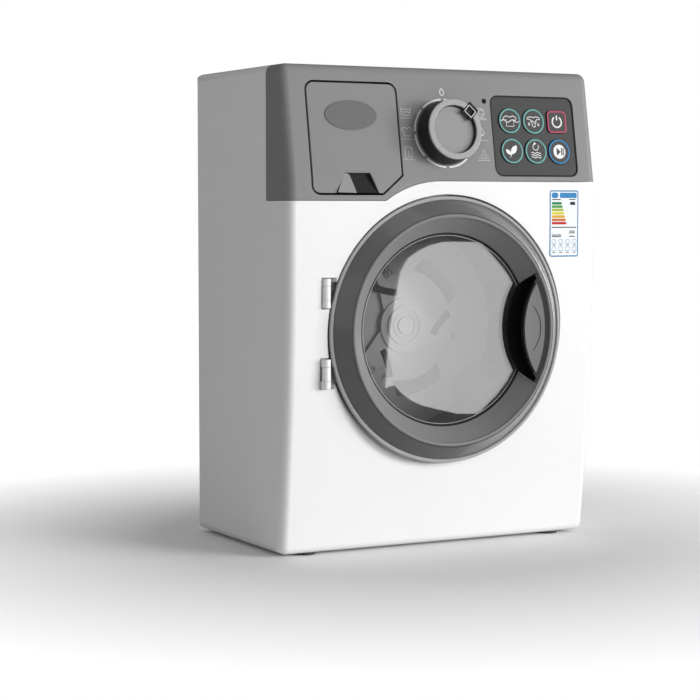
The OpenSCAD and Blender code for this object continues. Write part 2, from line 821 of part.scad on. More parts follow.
module gearbox_cover() placed() color(light_grey)
    difference() {
        union() {
            plate(box_back, box_rear) {
                box_outline();
                box_ear_outline();
            }
            rod(0, door_z, axle_r + 3, box_back, box_rear + 4);
            rod(0, motor_z, motor_r + 1.6, box_rear - eps, box_rear + 6);
        }
        rod(0, door_z, axle_r + run_gap, 0, box_rear + 2.6);
        rod(0, idler_z, idler_shaft_r, 0, cab_d);
        rod(0, motor_z, 3.1, 0, cab_d);
        plate(box_rear, cab_d) translate([0, motor_z]) motor_outline(0.1);
        block([-2.8, box_rear, motor_z - motor_r - 4], [2.8, box_rear + 7, motor_z - 5]);
        for (p = box_ears) rod(p[0], p[1], 1.3, 0, cab_d);
    }

module motor_outline(grow = 0)
    intersection() {
        circle(motor_r + grow);
        square([2 * motor_r + 1, motor_flat + 2 * grow], center = true);
    }

module motor() placed() color(steel)
    difference() {
        union() {
            plate(box_rear, box_rear + motor_l) translate([0, motor_z]) motor_outline();
            rod(0, motor_z, 3, box_rear - 1.6, box_rear);
            rod(0, motor_z, 4, box_rear + motor_l, box_rear + motor_l + 1.6);
            for (z = [-1, 1])
                block([-1, box_rear + motor_l, motor_z + 5 * z - 0.3],
                    [1, box_rear + motor_l + 4, motor_z + 5 * z + 0.3]);
        }
        rod(0, motor_z, motor_shaft_r + run_gap, 0, box_rear + 12);
    }

module idler_shaft() placed() color(steel) rod(0, idler_z, idler_shaft_r, box_front, box_rear);

module battery_box() placed() color(charcoal)
    difference() {
        union() {
            plate(bay_in - bay_depth - bay_t, bay_in) translate([0, bay_z])
                square([bay_w + 2 * bay_t, bay_h + 2 * bay_t], center = true);
            plate(bay_in - bay_flange, bay_in) bay_outline(2.4);
            rod(0, bay_z + bay_h / 2 + tongue / 2 + 1, 3, bay_in - 9, bay_in);
        }
        plate(bay_in - bay_depth, bay_in + 1) translate([0, bay_z])
            square([bay_w, bay_h], center = true);
        rod(0, bay_z + bay_h / 2 + tongue / 2 + 1, 1.2, bay_in - 8, bay_in + 1);
    }

module at_cells() for (k = [0:cells - 1])
    translate([0, bay_in - bay_depth + cell_r + 0.2,
        bay_z + (k - (cells - 1) / 2) * cell_step]) children();

module battery_cells() placed() color([0.2, 0.22, 0.6])
    at_cells() rotate([0, 90, 0]) {
        cylinder(r = cell_r, h = cell_l - 1, center = true);
        cylinder(r = 2.7, h = cell_l + 0.6, center = true);
    }

module battery_contacts() placed() color(steel)
    at_cells() {
        block([bay_w / 2 - 0.6, -5, -5], [bay_w / 2, 5, 5]);
        block([-bay_w / 2, -5, -5], [-bay_w / 2 + 0.6, 5, 5]);
        for (k = [0:2])
            translate([-bay_w / 2 + 0.5 + 0.8 * k, 0, 0]) rotate([0, 90, 0])
                difference() {
                    cylinder(r = 4 - 0.7 * k, h = 0.9);
                    translate([0, 0, -1]) cylinder(r = 2.6 - 0.7 * k, h = 3);
                }
        block([bay_w / 2 - 3.1, -1.5, -1.5], [bay_w / 2 - 0.5, 1.5, 1.5]);
    }

module battery_door() placed() color(white)
    difference() {
        union() {
            plate(bay_in + 0.1, cab_d) bay_outline(-seam);
            for (x = [-1, 1])
                block([x * bay_w / 4 - 4, bay_in - 1.4, bay_z - bay_h / 2 + 0.4],
                    [x * bay_w / 4 + 4, bay_in + 0.2, bay_z - bay_h / 2 + 1.6]);
        }
        for (k = [0:3])
            block([-bay_w / 5, cab_d - 0.7, bay_z - 10 + 4 * k],
                [bay_w / 5, cab_d + 1, bay_z - 8.6 + 4 * k]);
        rod(0, bay_z + bay_h / 2 + tongue / 2 + 1, 1.3, 0, cab_d + 1);
        rod(0, bay_z + bay_h / 2 + tongue / 2 + 1, 2.4, cab_d - 1.2, cab_d + 1);
    }

module speaker() placed() color(black)
    translate([speaker_x, 0, speaker_z]) rotate([-90, 0, 0])
        rotate_extrude()
            polygon([[0, bay_in - 5], [5, bay_in - 3.4], [speaker_r - 3, bay_in - 0.8],
                [speaker_r - 1.6, bay_in], [speaker_r, bay_in], [speaker_r, bay_in - 1.8],
                [speaker_r - 2, bay_in - 1.8], [speaker_r / 2, bay_in - 9],
                [speaker_r / 2, bay_in - 14], [0, bay_in - 14]]);

module latch_catch() placed() color(steel)
    difference() {
        block([latch_x - slot_side - 0.8, seat_back, door_z - 9],
            [latch_x + hook_t + slot_side + 0.8, seat_back + 6, door_z + 9]);
        block([latch_x - slot_side, 0, door_z - hook_w / 2 - 1],
            [latch_x + hook_t + slot_side, seat_back + 5.2, door_z + hook_w / 2 + 1]);
    }

module rubber_feet() placed() color(charcoal)
    for (x = [-1, 1], d = [foot_front, foot_back]) post(x * foot_x, d, foot_r, 0, foot_h + foot_sink);

module case_screws() placed() color(steel) {
    for (x = [-boss_x, boss_x], z = boss_z) {
        rod(x, z, screw_r, cover_d - screw_bite + 0.5, cover_d + well_t);
        difference() {
            rod(x, z, head_r, cover_d + well_t, cover_d + well_t + head_h);
            cross_slot(x, z, cover_d + well_t + head_h);
        }
    }
    difference() {
        union() {
            rod(0, bay_z + bay_h / 2 + tongue / 2 + 1, 1.15, bay_in - 7, cab_d - 1);
            rod(0, bay_z + bay_h / 2 + tongue / 2 + 1, 2.2, cab_d - 1.2, cab_d);
        }
        cross_slot(0, bay_z + bay_h / 2 + tongue / 2 + 1, cab_d);
    }
}

// The cross recess of a screw head whose top is at a depth
module cross_slot(x, z, d)
    for (turn = [0, 90])
        translate([x, d, z]) rotate([0, turn, 0]) block([-1.3, -0.7, -0.25], [1.3, 1, 0.25]);

module tub_screws() placed() color(steel)
    around(4, 45)
        difference() {
            union() {
                rod(tub_screw_r, 0, 1.1, seat_d + 0.8, seat_back + 2);
                rod(tub_screw_r, 0, 2.1, seat_back + 2, seat_back + 3.4);
            }
            cross_slot(tub_screw_r, 0, seat_back + 3.4);
        }

module gearbox_screws() placed() color(steel)
    for (p = box_ears)
        difference() {
            union() {
                rod(p[0], p[1], 1.2, tub_back + 1, box_rear);
                rod(p[0], p[1], 2.3, box_rear, box_rear + 1.5);
            }
            cross_slot(p[0], p[1], box_rear + 1.5);
        }

module hinge_pins() placed() color(steel)
    both_hinges() post(hinge_x, hinge_d, pin_r, hinge_in, hinge_out);

/* Door */

module door_bezel() placed() color(door_grey) {
    difference() {
        union() {
            turned()
                polygon([[bezel_r, bezel_back], [bezel_r, trim_h + 0.1],
                    [door_r - trim_t - 0.1, trim_h + 0.1],
                    [door_r - trim_t - 0.1, 0.4], [lip_r + 0.2, 0.6 - lip_reach],
                    [lip_r + 0.2, 3.6 - lip_reach], [bezel_r - bezel_t, 3],
                    [bezel_r - bezel_t, bezel_back]]);
            around(door_screws, 360 / door_screws / 2)
                intersection() {
                    rod(door_screw_r, 0, 2.4, -1.2, bezel_back - ring_t);
                    rod(0, 0, bezel_r, -2, bezel_back);
                }
        }
        around(door_screws, 360 / door_screws / 2) rod(door_screw_r, 0, 0.95, 0.4, bezel_back + 1);
    }
    both_hinges()
        difference() {
            union() {
                z0 = hinge_in + ear_l + hinge_gap;
                post(hinge_x, hinge_d, knuckle_r, z0, z0 + knuckle_l);
                block([hinge_x, hinge_d, z0], [hinge_x + knuckle_r, slot_d - 0.6, z0 + knuckle_l]);
                intersection() {
                    block([hinge_x, trim_h + 0.3, z0], [hinge_x + 9, slot_d - 0.6, z0 + knuckle_l]);
                    difference() {
                        block([hinge_x, 0, 0], [0, 9, door_z]);
                        rod(0, 0, bezel_r - bezel_t / 2, 0, 9);
                    }
                }
            }
            post(hinge_x, hinge_d, pin_r + run_gap, 0, 2 * hinge_out);
        }
}

module door_trim_ring() placed() color(light_grey)
    turned() translate([door_r - trim_t / 2, trim_h / 2]) rounded(trim_t, trim_h, 0.7);

module door_inner_ring() placed() color(light_grey)
    difference() {
        turned() {
            polygon([[lip_r, 1.2 - lip_reach], [lip_r, bezel_back - ring_t],
                [window_r + 6.6, bezel_back - ring_t],
                [window_r + 6.6, window_d - 0.1], [window_r, window_d - 0.1], [window_r, window_d - 1],
                [lip_r - lip_w, 1.2 - lip_reach]]);
            translate([lip_r - lip_w / 2, 1.2 - lip_reach]) circle(lip_w / 2);
        }
        plate(-lip_reach - 1, window_d) well_outline(-0.15);
    }

module door_window() placed() color([0.3, 0.31, 0.33, 0.4])
    rod(0, door_z, window_r + 6.4, window_d, window_d + window_t);

module door_back_ring() placed() color(door_grey)
    difference() {
        turned() translate([window_r - 1.4, bezel_back - ring_t])
            square([bezel_r - bezel_t - 0.1 - window_r + 1.4, ring_t]);
        around(door_screws, 360 / door_screws / 2) {
            rod(door_screw_r, 0, 1, 0, bezel_back + 1);
            rod(door_screw_r, 0, 2.1, bezel_back - 1, bezel_back + 1);
        }
    }

module door_screws_set() placed() color(steel)
    around(door_screws, 360 / door_screws / 2)
        difference() {
            union() {
                rod(door_screw_r, 0, 0.9, 0.8, bezel_back - 0.8);
                rod(door_screw_r, 0, 2, bezel_back - 1, bezel_back);
            }
            cross_slot(door_screw_r, 0, bezel_back + 0.2);
        }

module handle_plate() placed() color(light_grey)
    difference() {
        plate(well_rim - handle_t, well_rim) handle_outline();
        plate(well_rim - handle_t - 1, well_rim - handle_t + 0.4)
            translate([handle_right - 3 - mark_r, door_z])
                intersection() {
                    difference() {
                        circle(mark_r + 0.4);
                        circle(mark_r - 0.4);
                    }
                    translate([mark_r - 5, -13]) square([10, 26]);
                }
    }

module handle_well() placed() color(black) {
    difference() {
        plate(well_rim, window_d - 0.1) well_outline();
        plate(well_rim - 1, window_d - 0.1 - well_wall)
            translate([0, door_z]) circle(well_right - well_wall);
    }
    plate(well_rim, well_rim + grip_t) handle_outline(well_right, grip_edge);
}

module latch_hook() placed() color(door_grey) {
    block([latch_x, bezel_back, door_z - hook_w / 2],
        [latch_x + hook_t, bezel_back + hook_l, door_z + hook_w / 2]);
    plate_side(door_z - hook_w / 2, door_z + hook_w / 2)
        polygon([[latch_x + hook_t - eps, bezel_back + hook_l],
            [latch_x + hook_t - eps, bezel_back + hook_l - 3],
            [latch_x + hook_t + 0.9, bezel_back + hook_l - 2.2]]);
}

// An outline of place across and depth made solid between two heights
module plate_side(z0, z1) translate([0, 0, z0]) linear_extrude(z1 - z0) children();

/* Drum */

module drum_shell() placed() color([0.42, 0.42, 0.43])
    difference() {
        turned()
            polygon([[drum_r, drum_front + 2.2], [drum_r - 1, drum_front + 1.4],
                [drum_r - 1, drum_front + 0.5],
                [drum_r - 0.5, drum_front], [drum_out, drum_front], [drum_out, drum_d],
                [drum_r, drum_d]]);
        for (row = [0:2])
            around(hole_columns, 180 / hole_columns * (1 + row % 2))
                translate([drum_r - 2, drum_front + 9 + 10 * row, 0]) rotate([0, 90, 0])
                    cylinder(r = hole_r, h = drum_t + 4);
    }

module drum_back() placed() color([0.33, 0.33, 0.34]) {
    face = drum_d - 3;
    difference() {
        union() {
            rod(0, door_z, drum_r, face, face + 2);
            around(lifters, arm_turn) {
                plate(face - 2.4, face + eps) hull() {
                    circle(11, $fn = 32);
                    translate([arm_r, 0]) circle(8.5, $fn = 32);
                }
                rod(arm_r, 0, 3.6, face - 4, face);
            }
            rod(0, door_z, 16, face - 3.4, face);
            turned() {
                translate([9.6, face - 4.6]) square([1.8, 3]);
                translate([6.2, face - 4.2]) square([1.6, 3]);
                square_from(0, 5, face - 5.2, face);
            }
            rod(0, door_z, 8, face, face + 4.4);
        }
        rod(0, door_z, axle_r, face - 3, drum_d + 6);
        around(lifters, arm_turn) rod(arm_r, 0, 1.3, face - 5, face + 1);
        around(lifters, arm_turn + 180 / lifters)
            intersection() {
                difference() {
                    rod(0, 0, arm_r + slot_w, face - 1, face + 3);
                    rod(0, 0, arm_r, face - 2, face + 4);
                }
                block([0, face - 1, -16], [drum_r, face + 3, 16]);
            }
    }
}

// A rectangle between two radii and two depths
module square_from(r0, r1, d0, d1) translate([r0, d0]) square([r1 - r0, d1 - d0]);

module drum_lifters() placed() color([0.3, 0.3, 0.31])
    around(lifters, lifter_turn)
        intersection() {
            rod(0, 0, drum_r, drum_front + 4, drum_d - 3);
            translate([drum_r + 3.6, drum_front + 4, 0]) rotate([-90, 0, 0])
                cylinder(r1 = 8, r2 = 15, h = drum_d - 7 - drum_front);
        }

module drum_axle() placed() color(steel) rod(0, door_z, axle_r, drum_d - 6, box_rear + 2.4);

module drum_gear() placed() color([0.9, 0.88, 0.8])
    translate([0, 0, door_z])
        difference() {
            union() {
                plate(gear_d, gear_d + gear_w) rotate(-90) gear_outline(drum_teeth, gear_m);
                rod(0, 0, 6, gear_d - 1, box_back - 0.6);
            }
            rod(0, 0, axle_r, 0, cab_d);
            for (k = [0:4])
                rotate([0, 72 * k, 0])
                    rod(drum_teeth * gear_m / 3.1, 0, web_hole_r, gear_d - 1, gear_d + gear_w + 1);
        }

module drum_screws() placed() color(steel) {
    face = drum_d - 3;
    around(lifters, arm_turn)
        difference() {
            union() {
                rod(arm_r, 0, 1.25, face - 4, face + 0.5);
                rod(arm_r, 0, 2.4, face - 5.2, face - 4);
            }
            translate([arm_r, face - 5.2, 0])
                for (turn = [0, 90]) rotate([0, turn, 0]) block([-1.3, -1, -0.25], [1.3, 0.7, 0.25]);
        }
}

/* Gear train */

module idler_gear() placed() color([0.9, 0.88, 0.8])
    translate([0, 0, idler_z])
        difference() {
            union() {
                plate(gear_d - 0.4, wheel_d) rotate(90 + 180 / small_teeth)
                    gear_outline(small_teeth, gear_m);
                plate(wheel_d, wheel_d + wheel_w) rotate(-90) gear_outline(wheel_teeth, fine_m);
            }
            rod(0, 0, idler_shaft_r + run_gap, 0, cab_d);
        }

module motor_pinion() placed() color(brass)
    translate([0, 0, motor_z])
        difference() {
            plate(wheel_d - 0.2, wheel_d + wheel_w + 0.4) rotate(90 + 180 / pinion_teeth)
                gear_outline(pinion_teeth, fine_m);
            rod(0, 0, motor_shaft_r, 0, cab_d);
        }

module motor_shaft() placed() color(steel) rod(0, motor_z, motor_shaft_r, wheel_d - 0.6, box_rear + 10);

/* Selector knob */

module knob_turned() rotate([90, 0, 0]) rotate_extrude() children();

module knob_body() placed() color(charcoal)
    on_panel(0, knob_up)
        difference() {
            knob_turned()
                polygon([[knob_shaft_r, 0.4], [knob_r - 0.6, 0.4], [knob_r, 1], [knob_r, 2.4],
                    [knob_rim_r, knob_h - 1.6], [knob_rim_r, knob_h - 1.4],
                    [knob_dish_r - 0.3, knob_h - 1.4],
                    [knob_dish_r - 0.3, knob_h - knob_dish - 1.2],
                    [knob_shaft_r, knob_h - knob_dish - 1.2]]);
            for (k = [0:35])
                rotate([0, 10 * k, 0]) rod(knob_r + 0.75, 0, 1, -knob_h + 2.6, -2.6);
        }

module knob_pointer_block(grow = 0)
    rotate([0, pointer_deg, 0])
        block([-pointer_w / 2 - grow, -knob_h - 0.1, knob_dish_r - 3 - grow],
            [pointer_w / 2 + grow, 1.4 - knob_h, knob_rim_r + 1.6]);

module knob_rim() placed() color(light_grey)
    on_panel(0, knob_up)
        difference() {
            knob_turned()
                translate([(knob_rim_r + knob_dish_r) / 2, knob_h - 0.7])
                    rounded(knob_rim_r - knob_dish_r, 1.4, 0.5);
            knob_pointer_block(0.1);
        }

module knob_cap() placed() color(light_grey)
    on_panel(0, knob_up)
        difference() {
            knob_turned()
                translate([0, knob_h - knob_dish - 1.2]) square([knob_dish_r - 0.4, 1.2]);
            knob_pointer_block(0.1);
        }

module knob_pointer() placed() color(charcoal)
    on_panel(0, knob_up)
        difference() {
            knob_pointer_block();
            rotate([0, pointer_deg, 0])
                block([-pointer_w / 2 + 1.4, -knob_h - 1, knob_dish_r - 4],
                    [pointer_w / 2 - 1.4, 0.8 - knob_h, knob_rim_r - 0.6]);
        }

module knob_shaft() placed() color(steel)
    on_panel(0, knob_up) rod(0, 0, knob_shaft_r, knob_dish + 1.2 - knob_h, knob_shaft_l);

/* Detergent drawer */

module drawer_front() placed() color(panel_grey)
    difference() {
        intersection() {
            difference() {
                behind_face(0);
                behind_face(drawer_t);
            }
            plate(-2, tray_front + 2) drawer_outline();
        }
        plate(-3, tray_front) notch_outline();
    }

module drawer_tray() placed() color(white) {
    left = drawer_x - tray_w / 2;
    right = drawer_x + tray_w / 2;
    shelf = drawer_z - drawer_h / 2 + notch_h;
    difference() {
        intersection() {
            behind_face(drawer_t);
            block([left, 0, tray_z], [right, tray_d, tray_z + tray_h]);
        }
        block([left + tray_t, tray_front + tray_t, tray_z + tray_t],
            [right - tray_t, tray_d - tray_t, tray_z + tray_h + 1]);
        block([left + tray_t, 0, shelf + tray_t], [right - tray_t, tray_front, tray_z + tray_h + 1]);
        block([notch_x - notch_low / 2, -1, tray_z - 1], [notch_x + notch_low / 2, tray_front, shelf]);
        plate(-1, tray_d + 1) translate([right, tray_z])
            polygon([[-tray_cut, -1], [-tray_cut, 0], [0, tray_cut], [1, tray_cut], [1, -1]]);
    }
    block([drawer_x + 6, tray_front + tray_t - eps, tray_z + tray_t - eps],
        [drawer_x + 6 + tray_t, tray_d - tray_t + eps, tray_z + tray_h - 5]);
}

module drawer_badge() placed() color([0.42, 0.42, 0.43])
    on_panel(drawer_x - 1.5, (drawer_z + badge_up - joint_z) / cos(lean_deg))
        plate(-0.4, 0)
            intersection_for (side = [-1, 1])
                translate([0, side * (badge_arc - badge_h / 2)]) circle(badge_arc);

/* Keys */

module key(k) placed() {
    p = key_places[k];
    on_panel(p[0], p[1]) {
        plate(-key_lift, pad_back + flange_gap + flange_t) key_outline(p[2]);
        plate(pad_back + flange_gap, pad_back + flange_gap + flange_t) key_outline(p[2], flange_lap);
        rod(0, 0, 2, pad_back, pad_back + flange_gap + flange_t + stem_l);
    }
}

module key_wash() color(charcoal) key(0);
module key_spin() color(charcoal) key(1);
module key_power() color(charcoal) key(2);
module key_eco() color(charcoal) key(3);
module key_rinse() color(charcoal) key(4);
module key_start() color(charcoal) key(5);

rear_shell();
front_cover();
control_panel();
drawer_housing();
button_plate();
key_board();
main_board();
rotary_switch();
status_led();
drum_tub();
axle_bush();
gearbox_case();
gearbox_cover();
motor();
idler_shaft();
battery_box();
battery_contacts();
battery_cells();
battery_door();
speaker();
latch_catch();
rubber_feet();
case_screws();
tub_screws();
gearbox_screws();
hinge_pins();
door_bezel();
door_trim_ring();
door_inner_ring();
door_window();
door_back_ring();
handle_plate();
handle_well();
latch_hook();
door_screws_set();
drum_shell();
drum_back();
drum_lifters();
drum_axle();
drum_gear();
drum_screws();
idler_gear();
motor_pinion();
motor_shaft();
knob_body();
knob_rim();
knob_cap();
knob_pointer();
knob_shaft();
drawer_front();
drawer_tray();
drawer_badge();
key_wash();
key_spin();
key_power();
key_eco();
key_rinse();
key_start();
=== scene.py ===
"""Finishes, printed marks and fine parts of a toy front-loading washing machine."""

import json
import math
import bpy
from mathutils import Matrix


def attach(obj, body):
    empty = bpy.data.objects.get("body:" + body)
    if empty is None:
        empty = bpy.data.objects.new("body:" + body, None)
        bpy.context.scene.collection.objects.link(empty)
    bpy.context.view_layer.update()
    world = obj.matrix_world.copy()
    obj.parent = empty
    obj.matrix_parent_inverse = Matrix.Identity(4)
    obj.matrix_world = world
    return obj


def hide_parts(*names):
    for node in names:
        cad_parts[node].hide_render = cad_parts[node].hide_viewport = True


bl_info = {
    "name": "Toy Washing Machine",
    "version": (1, 0, 0),
    "blender": (4, 5, 0),
    "location": "3D View > Sidebar > Toy Washer",
    "description": "Dresses the frame of a toy front-loading washing machine",
    "category": "Object",
}

import bmesh
import bpy
from bpy.props import FloatProperty, FloatVectorProperty, PointerProperty
from mathutils import Matrix, Vector
from mathutils.bvhtree import BVHTree

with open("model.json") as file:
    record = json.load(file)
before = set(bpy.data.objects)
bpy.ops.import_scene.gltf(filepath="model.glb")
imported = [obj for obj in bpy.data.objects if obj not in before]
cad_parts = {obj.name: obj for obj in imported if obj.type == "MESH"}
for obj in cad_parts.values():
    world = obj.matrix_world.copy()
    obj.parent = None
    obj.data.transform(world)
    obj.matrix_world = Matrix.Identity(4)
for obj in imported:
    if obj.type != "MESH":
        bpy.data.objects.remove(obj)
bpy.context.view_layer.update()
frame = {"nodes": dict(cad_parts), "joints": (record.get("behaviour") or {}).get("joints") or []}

MM = 0.001
NODES = frame["nodes"]
JOINTS = {joint["name"]: joint for joint in frame["joints"]}


# Places taken from the frame


def span(node, direction):
    """Least and greatest reach of a CAD node along a direction."""
    reach = [vertex.co.dot(direction) for vertex in NODES[node].data.vertices]
    return min(reach), max(reach)


def middle(node, direction):
    low, high = span(node, direction)
    return (low + high) / 2


ACROSS = Vector((1, 0, 0))
DEEPER = Vector((0, 1, 0))
UPRIGHT = Vector((0, 0, 1))
PANEL_OUT = Vector(JOINTS["knob_turn"]["axis"])
PANEL_UP = ACROSS.cross(PANEL_OUT) * -1
PANEL_FACE = span("control_panel", PANEL_OUT)[1]
KNOB_CENTRE = Vector(JOINTS["knob_turn"]["pos_m"])
KNOB_UP = KNOB_CENTRE.dot(PANEL_UP)
DOOR_CENTRE = Vector(JOINTS["drum_spin"]["pos_m"])
DOOR_Z = DOOR_CENTRE.z
KEYS = ("wash", "spin", "power", "eco", "rinse", "start")


def front_at(right, up):
    """Depth of the front cover's face at a place."""
    bm = bmesh.new()
    bm.from_mesh(NODES["front_cover"].data)
    place = BVHTree.FromBMesh(bm).ray_cast((right, -1, up), DEEPER)[0]
    bm.free()
    if place is None:
        raise RuntimeError("The front cover has no face there")
    return place.y


def on_panel(right, up, out=0.0):
    """Place matrix on the leaning panel: X across, Y up its face and Z out of it."""
    place = ACROSS * right + PANEL_UP * up + PANEL_OUT * (PANEL_FACE + out)
    turn = Matrix((ACROSS, PANEL_UP, PANEL_OUT)).transposed().to_4x4()
    return Matrix.Translation(place) @ turn


def on_front(right, up, depth):
    """Place matrix on an upright face: X across, Y up and Z towards the front."""
    turn = Matrix((ACROSS, UPRIGHT, -DEEPER)).transposed().to_4x4()
    return Matrix.Translation((right, depth, up)) @ turn


# Shader graphs


class Link:
    """A shader socket whose Python operators add Math nodes."""

    def __init__(self, graph, socket):
        self.graph, self.socket = graph, socket

    def maths(self, operation, *others, clamp=False):
        values = {k: other for k, other in enumerate((self, *others))}
        settings = {"operation": operation, "use_clamp": clamp}
        return self.graph.node("ShaderNodeMath", settings, values)

    def __add__(self, other):
        return self.maths("ADD", other)

    def __sub__(self, other):
        return self.maths("SUBTRACT", other)

    def __mul__(self, other):
        return self.maths("MULTIPLY", other)

    def __rsub__(self, other):
        return (self * -1) + other

    __radd__ = __add__
    __rmul__ = __mul__


class Graph:
    """The node tree of one material or world."""

    def __init__(self, owner):
        self.owner = owner
        owner.use_nodes = True
        self.tree = owner.node_tree
        self.tree.nodes.clear()

    def node(self, kind, settings=None, inputs=None, output=0):
        """Adds a node with its settings and sockets, and returns one of its outputs."""
        made = self.tree.nodes.new(kind)
        for key, value in (settings or {}).items():
            setattr(made, key, value)
        for key, value in (inputs or {}).items():
            self.feed(made.inputs[key], value)
        return Link(self, made.outputs[output]) if len(made.outputs) else None

    def feed(self, socket, value):
        if isinstance(value, Link):
            self.tree.links.new(value.socket, socket)
        elif hasattr(value, "__len__") and len(value) == 3 and socket.type == "RGBA":
            socket.default_value = (*value, 1)
        else:
            socket.default_value = value

    def surface(self, shader):
        self.node("ShaderNodeOutputMaterial", None, {"Surface": shader})
        return self.owner

    def principled(self, inputs):
        """Ends the graph in one Principled shader."""
        return self.surface(self.node("ShaderNodeBsdfPrincipled", None, inputs))

    def emission(self, colour, strength):
        return self.node("ShaderNodeEmission", None, {"Color": colour, "Strength": strength})

    def place(self, scale=(1, 1, 1)):
        """Object coordinates, stretched."""
        where = self.node("ShaderNodeTexCoord", output="Object")
        return self.node(
            "ShaderNodeMapping", {"vector_type": "POINT"}, {"Vector": where, "Scale": scale}
        )

    def noise(self, scale, detail=3.0, roughness=0.55, where=None):
        return self.node(
            "ShaderNodeTexNoise",
            None,
            {
                "Vector": where or self.place(),
                "Scale": scale,
                "Detail": detail,
                "Roughness": roughness,
            },
        )

    def mix(self, factor, first, second):
        return self.node(
            "ShaderNodeMix",
            {"data_type": "RGBA"},
            {0: factor, 6: first, 7: second},
            output=2,
        )

    def bump(self, height, strength, distance):
        return self.node(
            "ShaderNodeBump",
            None,
            {"Strength": strength, "Distance": distance, "Height": height},
        )


def material_graph(name):
    return Graph(bpy.data.materials.new(name))


# Noise scales, in waves a metre, and the depths of the bumps
DRIFT_SCALE = 22.0
SMUDGE_SCALE = 75.0
PANE_SCALE = 14.0
FILM_SCALE = 900.0
DRAWN_SCALE = 700.0
GRAIN_DEPTH = 0.05 * MM
FILM_DEPTH = 0.03 * MM
DRAWN_DEPTH = 0.02 * MM


def shade(colour, factor):
    """A colour made darker or lighter."""
    return tuple(min(1.0, channel * factor) for channel in colour[:3])


def moulded(
    name, colour, roughness, grain=0.05, grain_size=0.35 * MM, coat=0.0, tone=0.02, smear=0.2
):
    """Moulded plastic: slight drifts of tone and gloss, and the fine grain of its mould."""
    g = material_graph(name)
    drift = g.noise(DRIFT_SCALE, detail=2.0)
    fine = g.noise(1 / grain_size, detail=2.0, roughness=0.6)
    smudge = g.noise(SMUDGE_SCALE, detail=4.0, roughness=0.65)
    base = g.mix(drift, shade(colour, 1 - tone), shade(colour, 1 + tone))
    gloss = smudge * (smear * roughness) + (1 - smear / 2) * roughness
    return g.principled(
        {
            "Base Color": base,
            "Roughness": gloss,
            "IOR": 1.5,
            "Coat Weight": coat,
            "Coat Roughness": 0.06,
            "Normal": g.bump(fine, grain, GRAIN_DEPTH),
        }
    )


def glossy_shell(name, colour, roughness, coat):
    """Polished moulding with a clear gloss over faint drifts of tone."""
    return moulded(
        name, colour, roughness, grain=0.01, grain_size=0.9 * MM, coat=coat, tone=0.01, smear=0.05
    )


def printed(name, colour, roughness=0.45):
    """Screen-printed ink with a slightly uneven film."""
    g = material_graph(name)
    film = g.noise(FILM_SCALE, detail=2.0)
    base = g.mix(film, shade(colour, 0.93), shade(colour, 1.03))
    return g.principled(
        {
            "Base Color": base,
            "Roughness": film * 0.15 + (roughness - 0.07),
            "Normal": g.bump(film, 0.08, FILM_DEPTH),
        }
    )


def metal(name, colour, roughness, brushed=(1.0, 1.0, 1.0)):
    """Bright metal with fine drawing marks that may be stretched along an axis."""
    g = material_graph(name)
    marks = g.noise(DRAWN_SCALE, detail=4.0, where=g.place(brushed))
    base = g.mix(marks, shade(colour, 0.88), shade(colour, 1.06))
    return g.principled(
        {
            "Base Color": base,
            "Metallic": 1.0,
            "Roughness": marks * 0.2 + (roughness - 0.1),
            "Normal": g.bump(marks, 0.06, DRAWN_DEPTH),
        }
    )


def smoked(name, tint, clearness):
    """Thin tinted plastic that lets the drum show through and mirrors the room."""
    g = material_graph(name)
    drift = g.noise(PANE_SCALE, detail=2.0)
    return g.principled(
        {
            "Base Color": tint,
            "Roughness": drift * 0.01 + 0.01,
            "Alpha": 1 - clearness,
            "IOR": 2.4,
            "Coat Weight": 1.0,
            "Coat Roughness": 0.01,
            "Coat IOR": 2.4,
        }
    )


def glowing(name, colour, strength):
    g = material_graph(name)
    return g.surface(g.emission(colour, strength))


# Pieces

# Edges sharper than the first angle stay sharp, faces flatter than the second are joined
SHARP_ANGLE = 32
FLAT_ANGLE = 0.05
SEAM = 0.002 * MM


def linked_mesh(name, bm, material):
    """Makes an object of a bmesh, with one material."""
    mesh = bpy.data.meshes.new(name)
    bm.to_mesh(mesh)
    bm.free()
    made = bpy.data.objects.new(name, mesh)
    bpy.context.scene.collection.objects.link(made)
    mesh.materials.append(material)
    return made


def finish_mesh(name, bm, material, body):
    """Makes a piece of a bmesh, seated on a body."""
    piece = linked_mesh(name, bm, material)
    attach(piece, body)
    return piece


def shade_by_angle(bm):
    """Smooths all but the sharp edges."""
    limit = math.radians(SHARP_ANGLE)
    for face in bm.faces:
        face.smooth = True
    for edge in bm.edges:
        edge.smooth = len(edge.link_faces) == 2 and edge.calc_face_angle(0.0) < limit


def refined(node, material, body):
    """A merged copy of a CAD node whose rounded stretches shade smoothly, in its place."""
    bm = bmesh.new()
    bm.from_mesh(NODES[node].data)
    bmesh.ops.remove_doubles(bm, verts=bm.verts, dist=SEAM)
    bmesh.ops.dissolve_limit(
        bm,
        angle_limit=math.radians(FLAT_ANGLE),
        verts=bm.verts,
        edges=bm.edges,
        delimit={"NORMAL"},
    )
    shade_by_angle(bm)
    piece = finish_mesh(node + "_finish", bm, material, body)
    piece.modifiers.new("Weighted", "WEIGHTED_NORMAL").keep_sharp = True
    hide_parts(node)
    return piece


def tint_part(piece, material, inside):
    """Gives the faces of a piece that lie in one region a second material."""
    piece.data.materials.append(material)
    for face in piece.data.polygons:
        if inside(face.center):
            face.material_index = 1


def paint(material, *nodes):
    """Gives CAD nodes one material."""
    for node in nodes:
        slots = NODES[node].data.materials
        slots.clear()
        slots.append(material)


